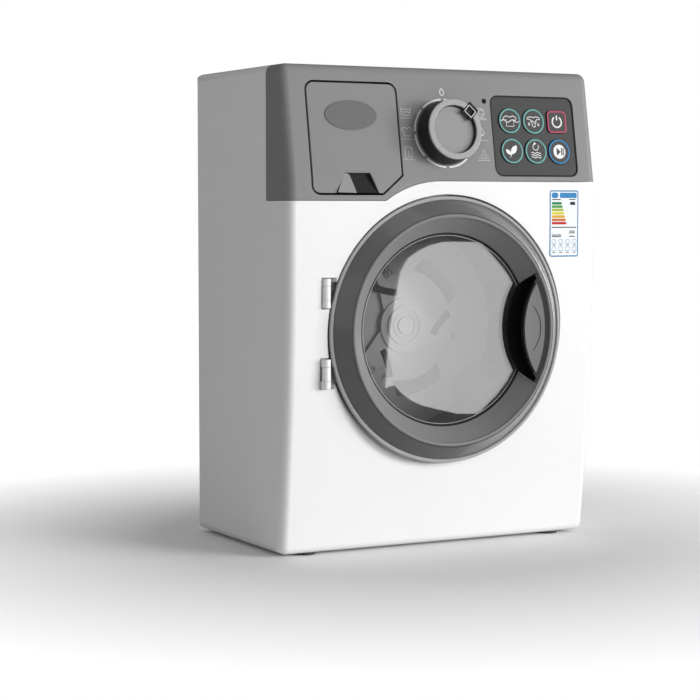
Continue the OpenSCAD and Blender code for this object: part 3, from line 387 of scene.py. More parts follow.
def strokes(name, lines, width, height, place, material, body, closed=()):
    """Printed lines: each is a list of points in millimetres, made a low rounded bead."""
    curve = bpy.data.curves.new(name, "CURVE")
    curve.dimensions = "3D"
    curve.bevel_depth = width / 2
    curve.bevel_resolution = 1
    curve.use_fill_caps = True
    for k, line in enumerate(lines):
        spline = curve.splines.new("POLY")
        spline.points.add(len(line) - 1)
        for point, (x, y) in zip(spline.points, line):
            point.co = (x * MM, y * MM, 0, 1)
        spline.use_cyclic_u = k in closed
    holder = bpy.data.objects.new(name, curve)
    mesh = bpy.data.meshes.new_from_object(holder)
    bpy.data.objects.remove(holder)
    bm = bmesh.new()
    bm.from_mesh(mesh)
    bpy.data.meshes.remove(mesh)
    bmesh.ops.scale(bm, vec=(1, 1, 2 * height / width), verts=bm.verts)
    bmesh.ops.transform(bm, matrix=place, verts=bm.verts)
    bmesh.ops.recalc_face_normals(bm, faces=bm.faces)
    return finish_mesh(name, bm, material, body)


def lifted_verts(bm, faces):
    """Extrudes faces and returns the new corners, still where the old ones are."""
    lifted = bmesh.ops.extrude_face_region(bm, geom=faces)
    return [item for item in lifted["geom"] if isinstance(item, bmesh.types.BMVert)]


def patch(bm, outline, place, height):
    """A thin flat shape with an outline in millimetres, added to a bmesh."""
    corners = [bm.verts.new(place @ Vector((x * MM, y * MM, 0))) for x, y in outline]
    top = lifted_verts(bm, [bm.faces.new(corners)])
    rise = (place.to_3x3() @ UPRIGHT).normalized() * height
    bmesh.ops.translate(bm, vec=rise, verts=top)


def patches(name, outlines, height, place, material, body):
    """Thin flat shapes, each with its outline in millimetres."""
    bm = bmesh.new()
    for outline in outlines:
        patch(bm, outline, place, height)
    bmesh.ops.recalc_face_normals(bm, faces=bm.faces)
    return finish_mesh(name, bm, material, body)


def arc(radius, start, end, steps, centre=(0, 0)):
    """Points on an arc, with angles in degrees clockwise from the top."""
    turns = [math.radians(start + (end - start) * k / steps) for k in range(steps + 1)]
    return [(centre[0] + radius * math.sin(t), centre[1] + radius * math.cos(t)) for t in turns]


def wave(left, right, up, height, crests, steps=24):
    """A level wavy line's points."""
    return [
        (
            left + (right - left) * k / steps,
            up + height * math.sin(2 * math.pi * crests * k / steps),
        )
        for k in range(steps + 1)
    ]


def circle(radius):
    return arc(radius, 0, 355, 71)


def ellipse(half_width, half_height, steps):
    turns = [2 * math.pi * k / steps for k in range(steps)]
    return [(half_width * math.sin(t), half_height * math.cos(t)) for t in turns]


def box_line(width, height, radius, centre=(0, 0), steps=5):
    """A rounded rectangle's outline."""
    points = []
    for quarter, (sx, sy) in enumerate(((1, 1), (1, -1), (-1, -1), (-1, 1))):
        middle_of = (
            centre[0] + sx * (width / 2 - radius),
            centre[1] + sy * (height / 2 - radius),
        )
        points += arc(radius, 90 * quarter, 90 * quarter + 90, steps, middle_of)
    return points


def moved(line, right, up, size=1.0):
    return [(x * size + right, y * size + up) for x, y in line]


def raised(place, height):
    return place @ Matrix.Translation((0, 0, height))


# Settings a user would change


def length_property(name, description, default, lowest, highest):
    """A length in millimetres."""
    return FloatProperty(
        name=name,
        description=description,
        default=default * MM,
        min=lowest * MM,
        max=highest * MM,
        unit="LENGTH",
    )


def light_property(name, description, default, highest, **kind):
    return FloatProperty(
        name=name, description=description, default=default, min=0.0, max=highest, **kind
    )


def colour_property(name, description, default):
    return FloatVectorProperty(
        name=name,
        description=description,
        default=default,
        subtype="COLOR",
        size=3,
        min=0.0,
        max=1.0,
    )


class WasherSizes(bpy.types.PropertyGroup):
    """Sizes of the printed marks, and the strength of the studio's lights."""

    ink: length_property(
        "Ink height", "How far printed marks stand off the plastic", 0.08, 0.02, 0.3
    )
    key_ring: length_property(
        "Key ring width", "Width of the coloured line round each key", 1.0, 0.4, 1.6
    )
    glyph_line: length_property(
        "Symbol line width", "Line width of the symbols on the keys", 0.5, 0.2, 1.0
    )
    dial_radius: length_property(
        "Dial ring radius", "Radius of the white ring round the selector knob", 19.2, 18.6, 21.0
    )
    label_width: length_property(
        "Rating label width", "Width of the rating label on the front", 20.0, 12.0, 22.0
    )
    label_height: length_property(
        "Rating label height", "Height of the rating label on the front", 38.4, 24.0, 40.0
    )
    badge_width: length_property(
        "Badge width", "Width of the oval badge on the drawer", 32.0, 20.0, 36.0
    )
    badge_height: length_property(
        "Badge height", "Height of the oval badge on the drawer", 16.5, 10.0, 20.0
    )
    key_power: light_property(
        "Key light", "Power of the light from the right", 122.0, 900.0, unit="POWER"
    )
    top_power: light_property(
        "Top light", "Power of the light from above", 2.0, 200.0, unit="POWER"
    )
    front_power: light_property(
        "Front light", "Power of the matt light from the front", 48.0, 400.0, unit="POWER"
    )
    fill_power: light_property(
        "Fill light", "Power of the light from the left", 1.5, 200.0, unit="POWER"
    )
    room_light: light_property(
        "Room light", "Strength of the even light from all round", 0.26, 3.0, subtype="FACTOR"
    )
    card_light: light_property(
        "Window reflection",
        "Brightness of the card that the window mirrors",
        2.2,
        10.0,
        subtype="FACTOR",
    )


class WasherColours(bpy.types.PropertyGroup):
    """Colours of the mouldings and the inks."""

    shell: colour_property("Cabinet", "Colour of the cabinet's mouldings", (0.86, 0.86, 0.855))
    panel: colour_property(
        "Control panel", "Colour of the panel and drawer front", (0.237, 0.237, 0.241)
    )
    bezel: colour_property(
        "Door bezel", "Colour of the door's wide sloping band", (0.142, 0.142, 0.145)
    )
    trim: colour_property("Trim", "Colour of the thin trim rings", (0.37, 0.37, 0.373))
    inner: colour_property("Inner ring", "Colour of the ring round the window", (0.21, 0.21, 0.213))
    handle: colour_property("Handle", "Colour of the handle plate", (0.14, 0.14, 0.141))
    knob: colour_property("Knob", "Colour of the knob's body", (0.012, 0.012, 0.013))
    keypad: colour_property("Key pad", "Colour of the key plate and keys", (0.058, 0.058, 0.059))
    drum: colour_property("Drum", "Colour of the drum", (0.45, 0.45, 0.455))
    mint: colour_property("Mint ink", "Colour of the rings on the washing keys", (0.15, 0.4, 0.38))
    rose: colour_property("Rose ink", "Colour of the power key's outline", (0.5, 0.07, 0.14))
    blue: colour_property("Blue ink", "Colour of the start key's ring", (0.03, 0.22, 0.45))


def sizes():
    return bpy.context.scene.washer_sizes


def colours():
    return bpy.context.scene.washer_colours


def white_ink():
    return printed("White ink", (0.85, 0.85, 0.85))


# Symbols, in millimetres about their centres

SHIRT = [
    (-1.5, 2.8), (-2.6, 2.8), (-4.4, 1.7), (-3.7, 0.2), (-2.5, 0.8), (-2.5, -3.1), (2.5, -3.1),
    (2.5, 0.8), (3.7, 0.2), (4.4, 1.7), (2.6, 2.8), (1.5, 2.8), (0.8, 2.3), (-0.8, 2.3),
]
WRUNG = [
    (-1.4, 2.7), (-3.9, 2.3), (-4.3, 1.1), (-2.6, 1.2), (-1.5, 0.4), (-1.9, -0.5), (-0.6, -1.4),
    (-1.2, -2.5), (0.0, -3.4), (1.3, -2.7), (0.7, -1.5), (1.8, -0.7), (1.5, 0.4), (2.6, 1.2),
    (4.3, 1.1), (3.9, 2.3), (1.4, 2.7), (0, 2.1),
]
DROP = [
    (0, 1.0), (0.45, 0.2), (0.5, -0.25), (0.25, -0.6), (-0.25, -0.6), (-0.5, -0.25), (-0.45, 0.2),
]
TROUSERS = [
    (-1.9, 3.0), (1.9, 3.0), (2.4, -3.0), (0.7, -3.0), (0, 1.0), (-0.7, -3.0), (-2.4, -3.0),
]
BASIN = [(-3.2, 2.2), (-2.7, -2.4), (2.7, -2.4), (3.2, 2.2)]
TENT = [(-3.2, -2.6), (0, 2.8), (3.2, -2.6)]
WOOL = [arc(2.6, 0, 350, 20), arc(1.5, 100, 420, 18, (0.3, 0.2)), wave(-3.4, 3.4, -3.3, 0.25, 2)]
PLAY = [(-1.9, 2.4), (0.8, 0), (-1.9, -2.4)]
PAUSE = [box_line(0.75, 4.4, 0.2, (x, 0), 2) for x in (1.5, 2.7)]


def leaf(length, width, turn, centre, steps=10):
    """A pointed leaf's outline, its tip turned from upright."""
    t = math.radians(turn)
    side = [
        (width / 2 * math.sin(math.pi * k / steps) ** 0.8, length * (k / steps - 0.5))
        for k in range(steps)
    ]
    points = side + [(-x, -y) for x, y in side]
    return [
        (
            x * math.cos(t) + y * math.sin(t) + centre[0],
            y * math.cos(t) - x * math.sin(t) + centre[1],
        )
        for x, y in points
    ]


def key_marks(key):
    """Lines, their closed ones, and filled shapes of one key's symbol."""
    lines, closed, filled = [], (), []
    if key == "wash":
        lines = [SHIRT, wave(-6.1, 6.1, -0.1, 0.7, 2)]
        closed = (0,)
    elif key == "spin":
        lines = [WRUNG, moved(DROP, -3.2, -1.6, 0.9), moved(DROP, 3.1, -1.9, 0.9)]
        lines += [wave(-1.6, 1.6, -0.1, 0.35, 1)]
        closed = (0, 1, 2)
    elif key == "eco":
        filled = [leaf(6.6, 3.4, 38, (1.0, 0.6)), leaf(4.4, 2.2, -48, (-2.7, -0.6))]
        lines = [[(-1.6, -3.6), (-1.0, -2.2), (0.2, -0.4)], [(-1.0, -2.2), (-2.0, -1.2)]]
    elif key == "rinse":
        lines = [wave(-3.2, 3.2, -0.9 - 1.3 * k, 0.35, 2) for k in range(3)]
        lines += [arc(1.9, 60, 350, 14, (0, 2.6))]
        filled = [[(-1.0, 5.3), (-1.0, 3.6), (0.5, 4.5)]]
    elif key == "power":
        lines = [arc(3.1, 32, 328, 26), [(0, 3.8), (0, 0.9)]]
    else:
        filled = [arc(4.1, 0, 350, 35)]
    return lines, closed, filled


# How far a key's hidden flange reaches past its face
FLANGE_LAP = 0.5 * MM

# The rings on the keys, in millimetres, and the width of the power key's symbol
RING_INSET = 0.05
POWER_CORNER = 2.2
POWER_LINE = 1.0 * MM


class WASHER_OT_keys(bpy.types.Operator):
    """Finish the six keys and print their rings and symbols"""

    bl_idname = "washer.keys"
    bl_label = "Keys"

    def execute(self, context):
        ink = white_ink()
        rings = {
            "power": printed("Rose ink", colours().rose),
            "start": printed("Blue ink", colours().blue),
        }
        mint = printed("Mint ink", colours().mint)
        dark = printed("Dark ink", colours().keypad)
        plastic = moulded("Key plastic", colours().keypad, 0.42, grain=0.06, coat=0.1)
        ring_width, rise = sizes().key_ring, sizes().ink
        for key in KEYS:
            node, body = f"key_{key}", f"key_{key}_body"
            paint(plastic, node)
            low, high = span(node, ACROSS)
            half = (high - low) / 2 - FLANGE_LAP
            place = on_panel(
                (low + high) / 2, middle(node, PANEL_UP), span(node, PANEL_OUT)[1] - PANEL_FACE
            )
            edge = (half - ring_width / 2) / MM - RING_INSET
            is_power = key == "power"
            outline = box_line(2 * edge, 2 * edge, POWER_CORNER) if is_power else circle(edge)
            ring = rings.get(key, mint)
            strokes(f"{key}_ring", [outline], ring_width, rise, place, ring, body, (0,))
            lines, closed, filled = key_marks(key)
            width = POWER_LINE if is_power else sizes().glyph_line
            if lines:
                strokes(f"{key}_lines", lines, width, rise, place, ink, body, closed)
            if filled:
                patches(f"{key}_shapes", filled, rise, place, ink, body)
            if key == "start":
                top = raised(place, rise)
                patches("start_symbol", [PLAY, *PAUSE], rise / 2, top, dark, body)
        return {"FINISHED"}


# Programme symbols: name, side of the knob, place up from the knob, lines, closed ones
PROGRAMMES = (
    ("basin", -1, 12.2, [BASIN, wave(-2.6, 2.6, 0.9, 0.35, 2), wave(-2.5, 2.5, -0.6, 0.35, 2)], ()),
    ("shirt", -1, 0.6, [moved(SHIRT, 0, 0, 0.8)], (0,)),
    ("trousers", -1, -11.2, [TROUSERS], (0,)),
    ("wool", 1, 12.2, WOOL, (0,)),
    ("drop", 1, 0.6, [moved(DROP, 0, 0.4, 2.8), arc(0.9, 100, 200, 6, (0, -0.1))], (0,)),
    ("tent", 1, -11.6, [TENT, moved(TENT, 0, -0.9, 0.5)], (0, 1)),
)


# Dial marks: angles in degrees, places in millimetres from the knob's axis, widths in metres
DIAL_STOPS = 8
DIAL_ARC = (3, 42)
DIAL_LINE = 1.1 * MM
ZERO_SIZE = (1.25, 1.9)
ZERO_UP = 23.4
ZERO_LINE = 0.55 * MM
PROGRAMME_SIDE = 24.4
PROGRAMME_LINE = 0.42 * MM
LEADER_UPS = (8.2, -3.6, -15.2)
LEADER_END = 28.2
LEADER_START = 20.2
LEADER_GAP = 0.8
LEADER_LINE = 0.28 * MM

# The black line of painted shade in the gap round the key plate, and the rise of every painted
# shade and highlight line
PAD_GAP = 0.7
PAD_CORNER = 4.6
GAP_SHADE_LINE = 0.9 * MM
PAINTED_LINE_RISE = 0.1 * MM


class WASHER_OT_panel(bpy.types.Operator):
    """Finish the control panel and print the dial's ring, symbols and leader lines"""

    bl_idname = "washer.panel"
    bl_label = "Control panel"

    def execute(self, context):
        grey = glossy_shell("Panel plastic", colours().panel, 0.45, coat=0.04)
        refined("control_panel", grey, "cabinet")
        pad = moulded("Pad plastic", colours().keypad, 0.36, grain=0.05, coat=0.2)
        paint(pad, "button_plate")
        paint(printed("Lamp lens", (0.012, 0.012, 0.013), 0.2), "status_led")
        ink, faint = white_ink(), printed("Grey ink", (0.62, 0.62, 0.62))
        rise = sizes().ink
        dial = on_panel(0, KNOB_UP)
        radius = sizes().dial_radius / MM
        start, end = DIAL_ARC
        stops = [360 / DIAL_STOPS * k for k in range(DIAL_STOPS)]
        ring = [arc(radius, stop + start, stop + end, 12) for stop in stops]
        strokes("dial_ring", ring, DIAL_LINE, rise, dial, ink, "cabinet")
        zero = [moved(ellipse(*ZERO_SIZE, 20), 0, ZERO_UP)]
        strokes("dial_zero", zero, ZERO_LINE, rise, dial, ink, "cabinet", (0,))
        for name, side, up, lines, closed in PROGRAMMES:
            name = f"programme_{name}"
            placed = [moved(line, side * PROGRAMME_SIDE, up) for line in lines]
            strokes(name, placed, PROGRAMME_LINE, rise, dial, faint, "cabinet", closed)
        leaders = []
        for side in (-1, 1):
            for up in LEADER_UPS:
                reach = math.sqrt(max(radius**2 - up**2, 0)) + LEADER_GAP
                leaders.append([(side * LEADER_END, up), (side * max(reach, LEADER_START), up)])
        strokes("dial_leaders", leaders, LEADER_LINE, rise / 2, dial, faint, "cabinet")
        self.outline_pad()
        return {"FINISHED"}

    def outline_pad(self):
        """Prints a black line of painted shade in the gap round the key plate."""
        low, high = span("button_plate", ACROSS)
        bottom, top = span("button_plate", PANEL_UP)
        place = on_panel((low + high) / 2, (bottom + top) / 2)
        outline = box_line((high - low) / MM + PAD_GAP, (top - bottom) / MM + PAD_GAP, PAD_CORNER)
        # Painted shade: a black line standing for the dark of the gap round the key plate
        black = printed("Pad gap", (0.008, 0.008, 0.009), 0.5)
        strokes("pad_gap", [outline], GAP_SHADE_LINE, PAINTED_LINE_RISE, place, black, "cabinet", (0,))


# The pointer's printed outline, turned from the top of the dial
POINTER_TURN = 45.0
POINTER_REACH = 14.4
POINTER_OUTLINE = box_line(5.4, 4.6, 0.4)
POINTER_LINE = 0.4 * MM


class WASHER_OT_knob(bpy.types.Operator):
    """Finish the selector knob and outline its pointer"""

    bl_idname = "washer.knob"
    bl_label = "Selector knob"

    def execute(self, context):
        body = moulded("Knob plastic", colours().knob, 0.5, grain=0.04)
        rim = glossy_shell("Knob rim plastic", colours().trim, 0.24, coat=0.4)
        dish = glossy_shell("Knob dish plastic", shade(colours().trim, 0.8), 0.3, coat=0.2)
        refined("knob_body", body, "knob")
        refined("knob_rim", rim, "knob")
        refined("knob_cap", dish, "knob")
        refined("knob_pointer", body, "knob")
        paint(metal("Steel", (0.6, 0.61, 0.62), 0.3), "knob_shaft")
        top = span("knob_pointer", PANEL_OUT)[1] - PANEL_FACE
        place = on_panel(0, KNOB_UP, top) @ Matrix.Rotation(math.radians(-POINTER_TURN), 4, "Z")
        outline = [moved(POINTER_OUTLINE, 0, POINTER_REACH)]
        rise = sizes().ink / 2
        strokes("pointer_outline", outline, POINTER_LINE, rise, place, white_ink(), "knob", (0,))
        return {"FINISHED"}


# The finger notch, in millimetres from the middle of the drawer's lower edge
NOTCH = [(-13.0, 0.1), (-7.8, 10.9), (7.8, 10.9), (13.0, 0.1)]
NOTCH_RAMP = [(-13.0, 0.1), (-8.0, 10.7), (-6.0, 10.7), (-4.7, 9.9), (-3.7, 7.8), (-0.7, 0.1)]
NOTCH_ACROSS = -0.2 * MM
NOTCH_THICK = 0.2 * MM
POCKET_DEPTH = 1.9 * MM
RAMP_DEPTH = 1.5 * MM
RAMP_TURN = math.radians(6)
BADGE_SIDES = 96


class WASHER_OT_drawer(bpy.types.Operator):
    """Finish the detergent drawer, its finger notch, its tray and its oval badge"""

    bl_idname = "washer.drawer"
    bl_label = "Detergent drawer"

    def execute(self, context):
        grey = glossy_shell("Drawer plastic", colours().panel, 0.45, coat=0.04)
        refined("drawer_front", grey, "drawer")
        white = moulded("Tray plastic", colours().shell, 0.4, coat=0.1)
        paint(white, "drawer_tray")
        # Painted shade: the housing is near-black so the gaps round the drawer read as shadow
        paint(moulded("Housing plastic", (0.012, 0.012, 0.013), 0.5), "drawer_housing")
        badge = moulded("Badge plastic", shade(colours().panel, 0.62), 0.42, grain=0.12)
        self.make_badge(badge)
        self.line_notch(grey)
        return {"FINISHED"}

    def make_badge(self, plastic):
        """Makes the oval badge, as high as the plain one that it replaces."""
        bm = bmesh.new()
        low, high = span("drawer_badge", PANEL_OUT)
        place = on_panel(
            middle("drawer_badge", ACROSS), middle("drawer_badge", PANEL_UP), low - PANEL_FACE
        )
        half = Matrix.Diagonal((sizes().badge_width / 2, sizes().badge_height / 2, 1, 1))
        bmesh.ops.create_circle(
            bm, cap_ends=True, segments=BADGE_SIDES, radius=1, matrix=place @ half
        )
        bmesh.ops.translate(
            bm, vec=PANEL_OUT * (high - low), verts=lifted_verts(bm, list(bm.faces))
        )
        bmesh.ops.recalc_face_normals(bm, faces=bm.faces)
        shade_by_angle(bm)
        piece = finish_mesh("oval_badge", bm, plastic, "drawer")
        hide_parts("drawer_badge")

    def line_notch(self, grey):
        """Puts a black sheet of painted shade in the back of the finger notch, and a grey ramp."""
        notch = on_panel(
            middle("drawer_front", ACROSS) + NOTCH_ACROSS,
            span("drawer_front", PANEL_UP)[0],
            span("drawer_front", PANEL_OUT)[1] - PANEL_FACE,
        )
        # Painted shade: a near-black sheet where the notch's cavity reads dark
        black = moulded("Notch black", (0.006, 0.006, 0.0062), 0.6)
        pocket = raised(notch, -POCKET_DEPTH)
        patches("notch_pocket", [NOTCH], NOTCH_THICK, pocket, black, "drawer")
        slope = raised(notch, -RAMP_DEPTH) @ Matrix.Rotation(RAMP_TURN, 4, "Y")
        patches("notch_ramp", [NOTCH_RAMP], NOTCH_THICK, slope, grey, "drawer")


class WASHER_OT_cabinet(bpy.types.Operator):
    """Finish the white mouldings, the seat of the door and the back"""

    bl_idname = "washer.cabinet"
    bl_label = "Cabinet"

    def execute(self, context):
        white = moulded("Cabinet plastic", colours().shell, 0.32, grain=0.05, coat=0.15, tone=0.015)
        refined("front_cover", white, "cabinet")
        refined("rear_shell", white, "cabinet")
        paint(white, "battery_door", "hinge_pins")
        paint(moulded("Foot rubber", (0.05, 0.05, 0.052), 0.8, grain=0.3), "rubber_feet")
        paint(moulded("Grille black", (0.02, 0.02, 0.021), 0.6, grain=0.2), "speaker")
        return {"FINISHED"}


# The bezel's faces to the left of this are its hinge knuckles
KNUCKLE_REACH = -75.05 * MM

# Radius and width in millimetres of the lines round the window: black painted shade in the gap and
# a light painted highlight on the bevel
WINDOW_GAP_SHADE = (54.1, 0.9)
WINDOW_BEVEL_HIGHLIGHT = (53.1, 0.35)


class WASHER_OT_door(bpy.types.Operator):
    """Finish the door's rings, its white hinge knuckles and its smoked window, with lines of
    painted shade and highlight round the window
    """

    bl_idname = "washer.door"
    bl_label = "Door"

    def execute(self, context):
        bezel = glossy_shell("Bezel plastic", colours().bezel, 0.25, coat=0.5)
        trim = glossy_shell("Trim plastic", colours().trim, 0.3, coat=0.2)
        inner = glossy_shell("Inner ring plastic", colours().inner, 0.55, coat=0.0)
        white = moulded("Knuckle plastic", colours().shell, 0.32, grain=0.05, coat=0.15)
        tint_part(refined("door_bezel", bezel, "door"), white, lambda spot: spot.x < KNUCKLE_REACH)
        refined("door_trim_ring", trim, "door")
        refined("door_inner_ring", inner, "door")
        refined("door_back_ring", bezel, "door")
        paint(smoked("Smoked window", (0.03, 0.03, 0.032), 0.6), "door_window")
        NODES["door_window"].visible_shadow = False
        pane = on_front(0, DOOR_Z, span("door_window", DEEPER)[0])
        # Painted shade: a black ring where the gap round the window reads dark
        black = printed("Window gap", (0.008, 0.008, 0.009), 0.5)
        # Painted highlight: a lighter copy of the trim's grey along the window's bevel
        light = printed("Window bevel", shade(colours().trim, 1.2), 0.4)
        for name, (radius, width), ink in (
            ("window_gap", WINDOW_GAP_SHADE, black),
            ("window_bevel", WINDOW_BEVEL_HIGHLIGHT, light),
        ):
            strokes(name, [circle(radius)], width * MM, PAINTED_LINE_RISE, pane, ink, "door", (0,))
        return {"FINISHED"}


class WASHER_OT_handle(bpy.types.Operator):
    """Finish the handle plate and the finger well"""

    bl_idname = "washer.handle"
    bl_label = "Door handle"

    def execute(self, context):
        plate = glossy_shell("Handle plastic", colours().handle, 0.26, coat=0.3)
        # Painted shade: the finger well is near-black so its recess reads as shadow
        well = moulded("Well plastic", (0.006, 0.006, 0.007), 0.55, grain=0.06)
        refined("handle_plate", plate, "door")
        refined("handle_well", well, "door")
        paint(moulded("Latch plastic", (0.06, 0.06, 0.062), 0.45), "latch_hook", "latch_catch")
        return {"FINISHED"}


# The painted shadow beside each of the drum's arms: a black sagging line, in millimetres from the
# axle
SHADOW_START = (-21.0, 23.1)
SHADOW_RUN = (16.3, -3.7)
SHADOW_SAG = 3.4
SHADOW_STEPS = 8
ARM_SHADOW = [
    (SHADOW_START[0] + SHADOW_RUN[0] * t, SHADOW_START[1] + SHADOW_RUN[1] * t - SHADOW_SAG * t * (1 - t))
    for t in (k / SHADOW_STEPS for k in range(SHADOW_STEPS + 1))
]

# The arms' count, the painted shadows' width, and how far they lie behind the drum back's foremost
# point
DRUM_ARMS = 3
SHADOW_LINE = 4.0 * MM
ARM_SET_BACK = 2.7 * MM


class WASHER_OT_drum(bpy.types.Operator):
    """Finish the drum, its lifters, the painted shadows beside its arms and the tub behind it"""

    bl_idname = "washer.drum"
    bl_label = "Drum"

    def execute(self, context):
        grey = glossy_shell("Drum plastic", colours().drum, 0.3, coat=0.3)
        refined("drum_back", grey, "drum")
        lifter = moulded("Lifter plastic", shade(colours().drum, 0.4), 0.4)
        refined("drum_lifters", lifter, "drum")
        # Painted shade: the drum's wall is a much darker copy of the drum's grey, as the shade
        # inside the drum
        wall = moulded("Drum wall plastic", shade(colours().drum, 0.16), 0.4)
        refined("drum_shell", wall, "drum")
        paint(moulded("Tub plastic", shade(colours().drum, 0.5), 0.5), "drum_tub")
        face = on_front(0, DOOR_Z, span("drum_back", DEEPER)[0] + ARM_SET_BACK)
        # Painted shadow: a black line beside each arm
        black = printed("Drum slot", (0.01, 0.01, 0.011), 0.6)
        for k in range(DRUM_ARMS):
            place = face @ Matrix.Rotation(math.radians(360 / DRUM_ARMS * k), 4, "Z")
            name = f"drum_slot_{k + 1}"
            strokes(name, [ARM_SHADOW], SHADOW_LINE, PAINTED_LINE_RISE, place, black, "drum")
        return {"FINISHED"}


class WASHER_OT_inside(bpy.types.Operator):
    """Finish the drive, the boards and the battery box"""

    bl_idname = "washer.inside"
    bl_label = "Drive and electrics"

    def execute(self, context):
        steel = metal("Drawn steel", (0.6, 0.61, 0.62), 0.32, brushed=(1.0, 0.1, 1.0))
        nylon = moulded("Gear nylon", (0.78, 0.75, 0.64), 0.45)
        housing = moulded("Gearbox plastic", (0.36, 0.36, 0.365), 0.45)
        board = printed("Board lacquer", (0.02, 0.16, 0.08), 0.3)
        black = moulded("Box plastic", (0.03, 0.03, 0.031), 0.5)
        paint(steel, "drum_axle", "idler_shaft", "motor_shaft", "motor")
        paint(nylon, "drum_gear", "idler_gear", "motor_pinion")
        paint(housing, "gearbox_case", "gearbox_cover")
        paint(board, "key_board", "main_board")
        paint(black, "rotary_switch", "battery_box")
        paint(metal("Bush brass", (0.75, 0.55, 0.25), 0.3), "axle_bush")
        paint(metal("Spring plate", (0.7, 0.7, 0.68), 0.25), "battery_contacts")
        paint(moulded("Cell sleeve", (0.05, 0.06, 0.22), 0.35, coat=0.5), "battery_cells")
        return {"FINISHED"}


class WASHER_OT_fasteners(bpy.types.Operator):
    """Finish every screw"""

    bl_idname = "washer.fasteners"
    bl_label = "Screws"

    def execute(self, context):
        zinc = metal("Screw zinc", (0.5, 0.5, 0.51), 0.34)
        paint(zinc, "case_screws", "tub_screws", "gearbox_screws", "door_screws_set", "drum_screws")
        return {"FINISHED"}


# The label's place on the front and its thickness, in metres
LABEL_CENTRE = (77.25 * MM, 182.9 * MM)
LABEL_BACK = 0.2 * MM
LABEL_PROUD = 0.06 * MM
LABEL_INK = 0.02 * MM

# The label's print, in millimetres about its centre
LABEL_MARGIN = 1.6
BAR_COLOURS = (
    (0.0, 0.3, 0.07), (0.08, 0.42, 0.06), (0.5, 0.62, 0.03), (0.9, 0.8, 0.02),
    (0.9, 0.5, 0.02), (0.8, 0.2, 0.02), (0.7, 0.02, 0.02),
)
BARS_DOWN = 7.6
BAR_PITCH = 1.9
BAR_HALF = 0.75
BAR_POINT = 0.9
BAR_LENGTH = 6.2
BAR_STEP = 0.55
TAG_HALF = 0.9
CELL_PITCH = 4.7
CELL_SIZE = (2.6, 2.2, 0.4)
CELL_ROWS = (-10.4, -14.6)
TICK_ROWS = (-12.4, -16.6)


class WASHER_OT_label(bpy.types.Operator):
    """Make the rating label: a framed sheet with a ladder of coloured bars and no words"""

    bl_idname = "washer.label"
    bl_label = "Rating label"

    def execute(self, context):
        width, height = sizes().label_width / MM, sizes().label_height / MM
        left, top = -width / 2 + LABEL_MARGIN, height / 2
        sheet = on_front(*LABEL_CENTRE, front_at(*LABEL_CENTRE) + LABEL_BACK)
        paper = printed("Label paper", (0.82, 0.84, 0.86), 0.35)
        azure = printed("Label blue", (0.02, 0.22, 0.5), 0.6)
        sky = printed("Label sky", (0.12, 0.36, 0.6), 0.6)
        black = printed("Label black", (0.01, 0.01, 0.012), 0.6)
        thick = LABEL_BACK + LABEL_PROUD
        patches("label_sheet", [box_line(width, height, 1.2)], thick, sheet, paper, "cabinet")
        place = raised(sheet, thick)

        def fill(name, outlines, ink):
            patches(name, outlines, LABEL_INK, place, ink, "cabinet")

        def rule(name, lines, line_width, ink, closed=()):
            strokes(name, lines, line_width * MM, LABEL_INK, place, ink, "cabinet", closed)

        rule("label_frame", [box_line(width - 0.9, height - 0.9, 1.0)], 0.7, azure, (0,))
        spot = box_line(4.6, 3.2, 1.5, (-width / 2 + 3.6, top - 3.0))
        band = box_line(width - 8.4, 3.0, 0.4, (2.8, top - 3.0))
        fill("label_head", [spot, band], azure)
        for k, colour in enumerate(BAR_COLOURS):
            up = top - BARS_DOWN - BAR_PITCH * k
            end = left + BAR_LENGTH + BAR_STEP * k
            bar = [
                (left, up + BAR_HALF), (end, up + BAR_HALF), (end + BAR_POINT, up),
                (end, up - BAR_HALF), (left, up - BAR_HALF),
            ]
            ink = printed(f"Label bar {k + 1}", shade(colour, 0.75), 0.6)
            fill(f"label_bar_{k + 1}", [bar], ink)
        up = top - BARS_DOWN
        high, low = up + TAG_HALF, up - TAG_HALF
        tag = [(3.6, up), (4.7, high), (7.6, high), (7.6, low), (4.7, low)]
        fill("label_tag", [tag], black)
        rows = [
            (left, left + 6.0, top - 5.4), (3.4, 7.8, top - 5.4),
            (-width / 2 + 1.4, width / 2 - 1.4, -2.2),
            (left, left + 6.5, -6.6), (left, left + 6.5, -7.5),
            (3.6, 7.4, -4.4), (3.6, 7.4, -5.4), (3.6, 7.4, -7.4),
        ]
        rule("label_rows", [[(start, up), (end, up)] for start, end, up in rows], 0.55, black)
        columns = [left + CELL_PITCH * k for k in range(4)]
        cells = [box_line(*CELL_SIZE, (x + 1.5, up)) for up in CELL_ROWS for x in columns]
        rule("label_cells", cells, 0.3, sky, range(len(cells)))
        ticks = [[(x + 0.6, up), (x + 2.4, up)] for up in TICK_ROWS for x in columns]
        rule("label_ticks", ticks, 0.5, black)
        return {"FINISHED"}


# Surroundings

CAMERA_PLACE = Vector((-583.5, -1033.9, 191.7)) * MM
CAMERA_TURN = (86.0, 0.0, -28.06)
CAMERA_REACH = 20
LENS = 104.27
SENSOR = 36
LIGHT_AIM = (0, 0, 0.13)

# Studio lights: name, place, width of the square, setting that holds the power
STUDIO = (
    ("Key", (3.47, -2.34, 0.25), 1.3, "key_power"),
    ("Top", (0.1, -0.4, 2.1), 1.3, "top_power"),
    ("Fill", (-1.4, -1.1, 0.7), 1.2, "fill_power"),
    ("Front", (1.66, -2.37, 0.91), 1.2, "front_power"),
)
MATT_LIGHTS = ("Front",)
LAMP_BEHIND = 8 * MM
LAMP_WIDTH = 0.05
LAMP_POWER = 0.011

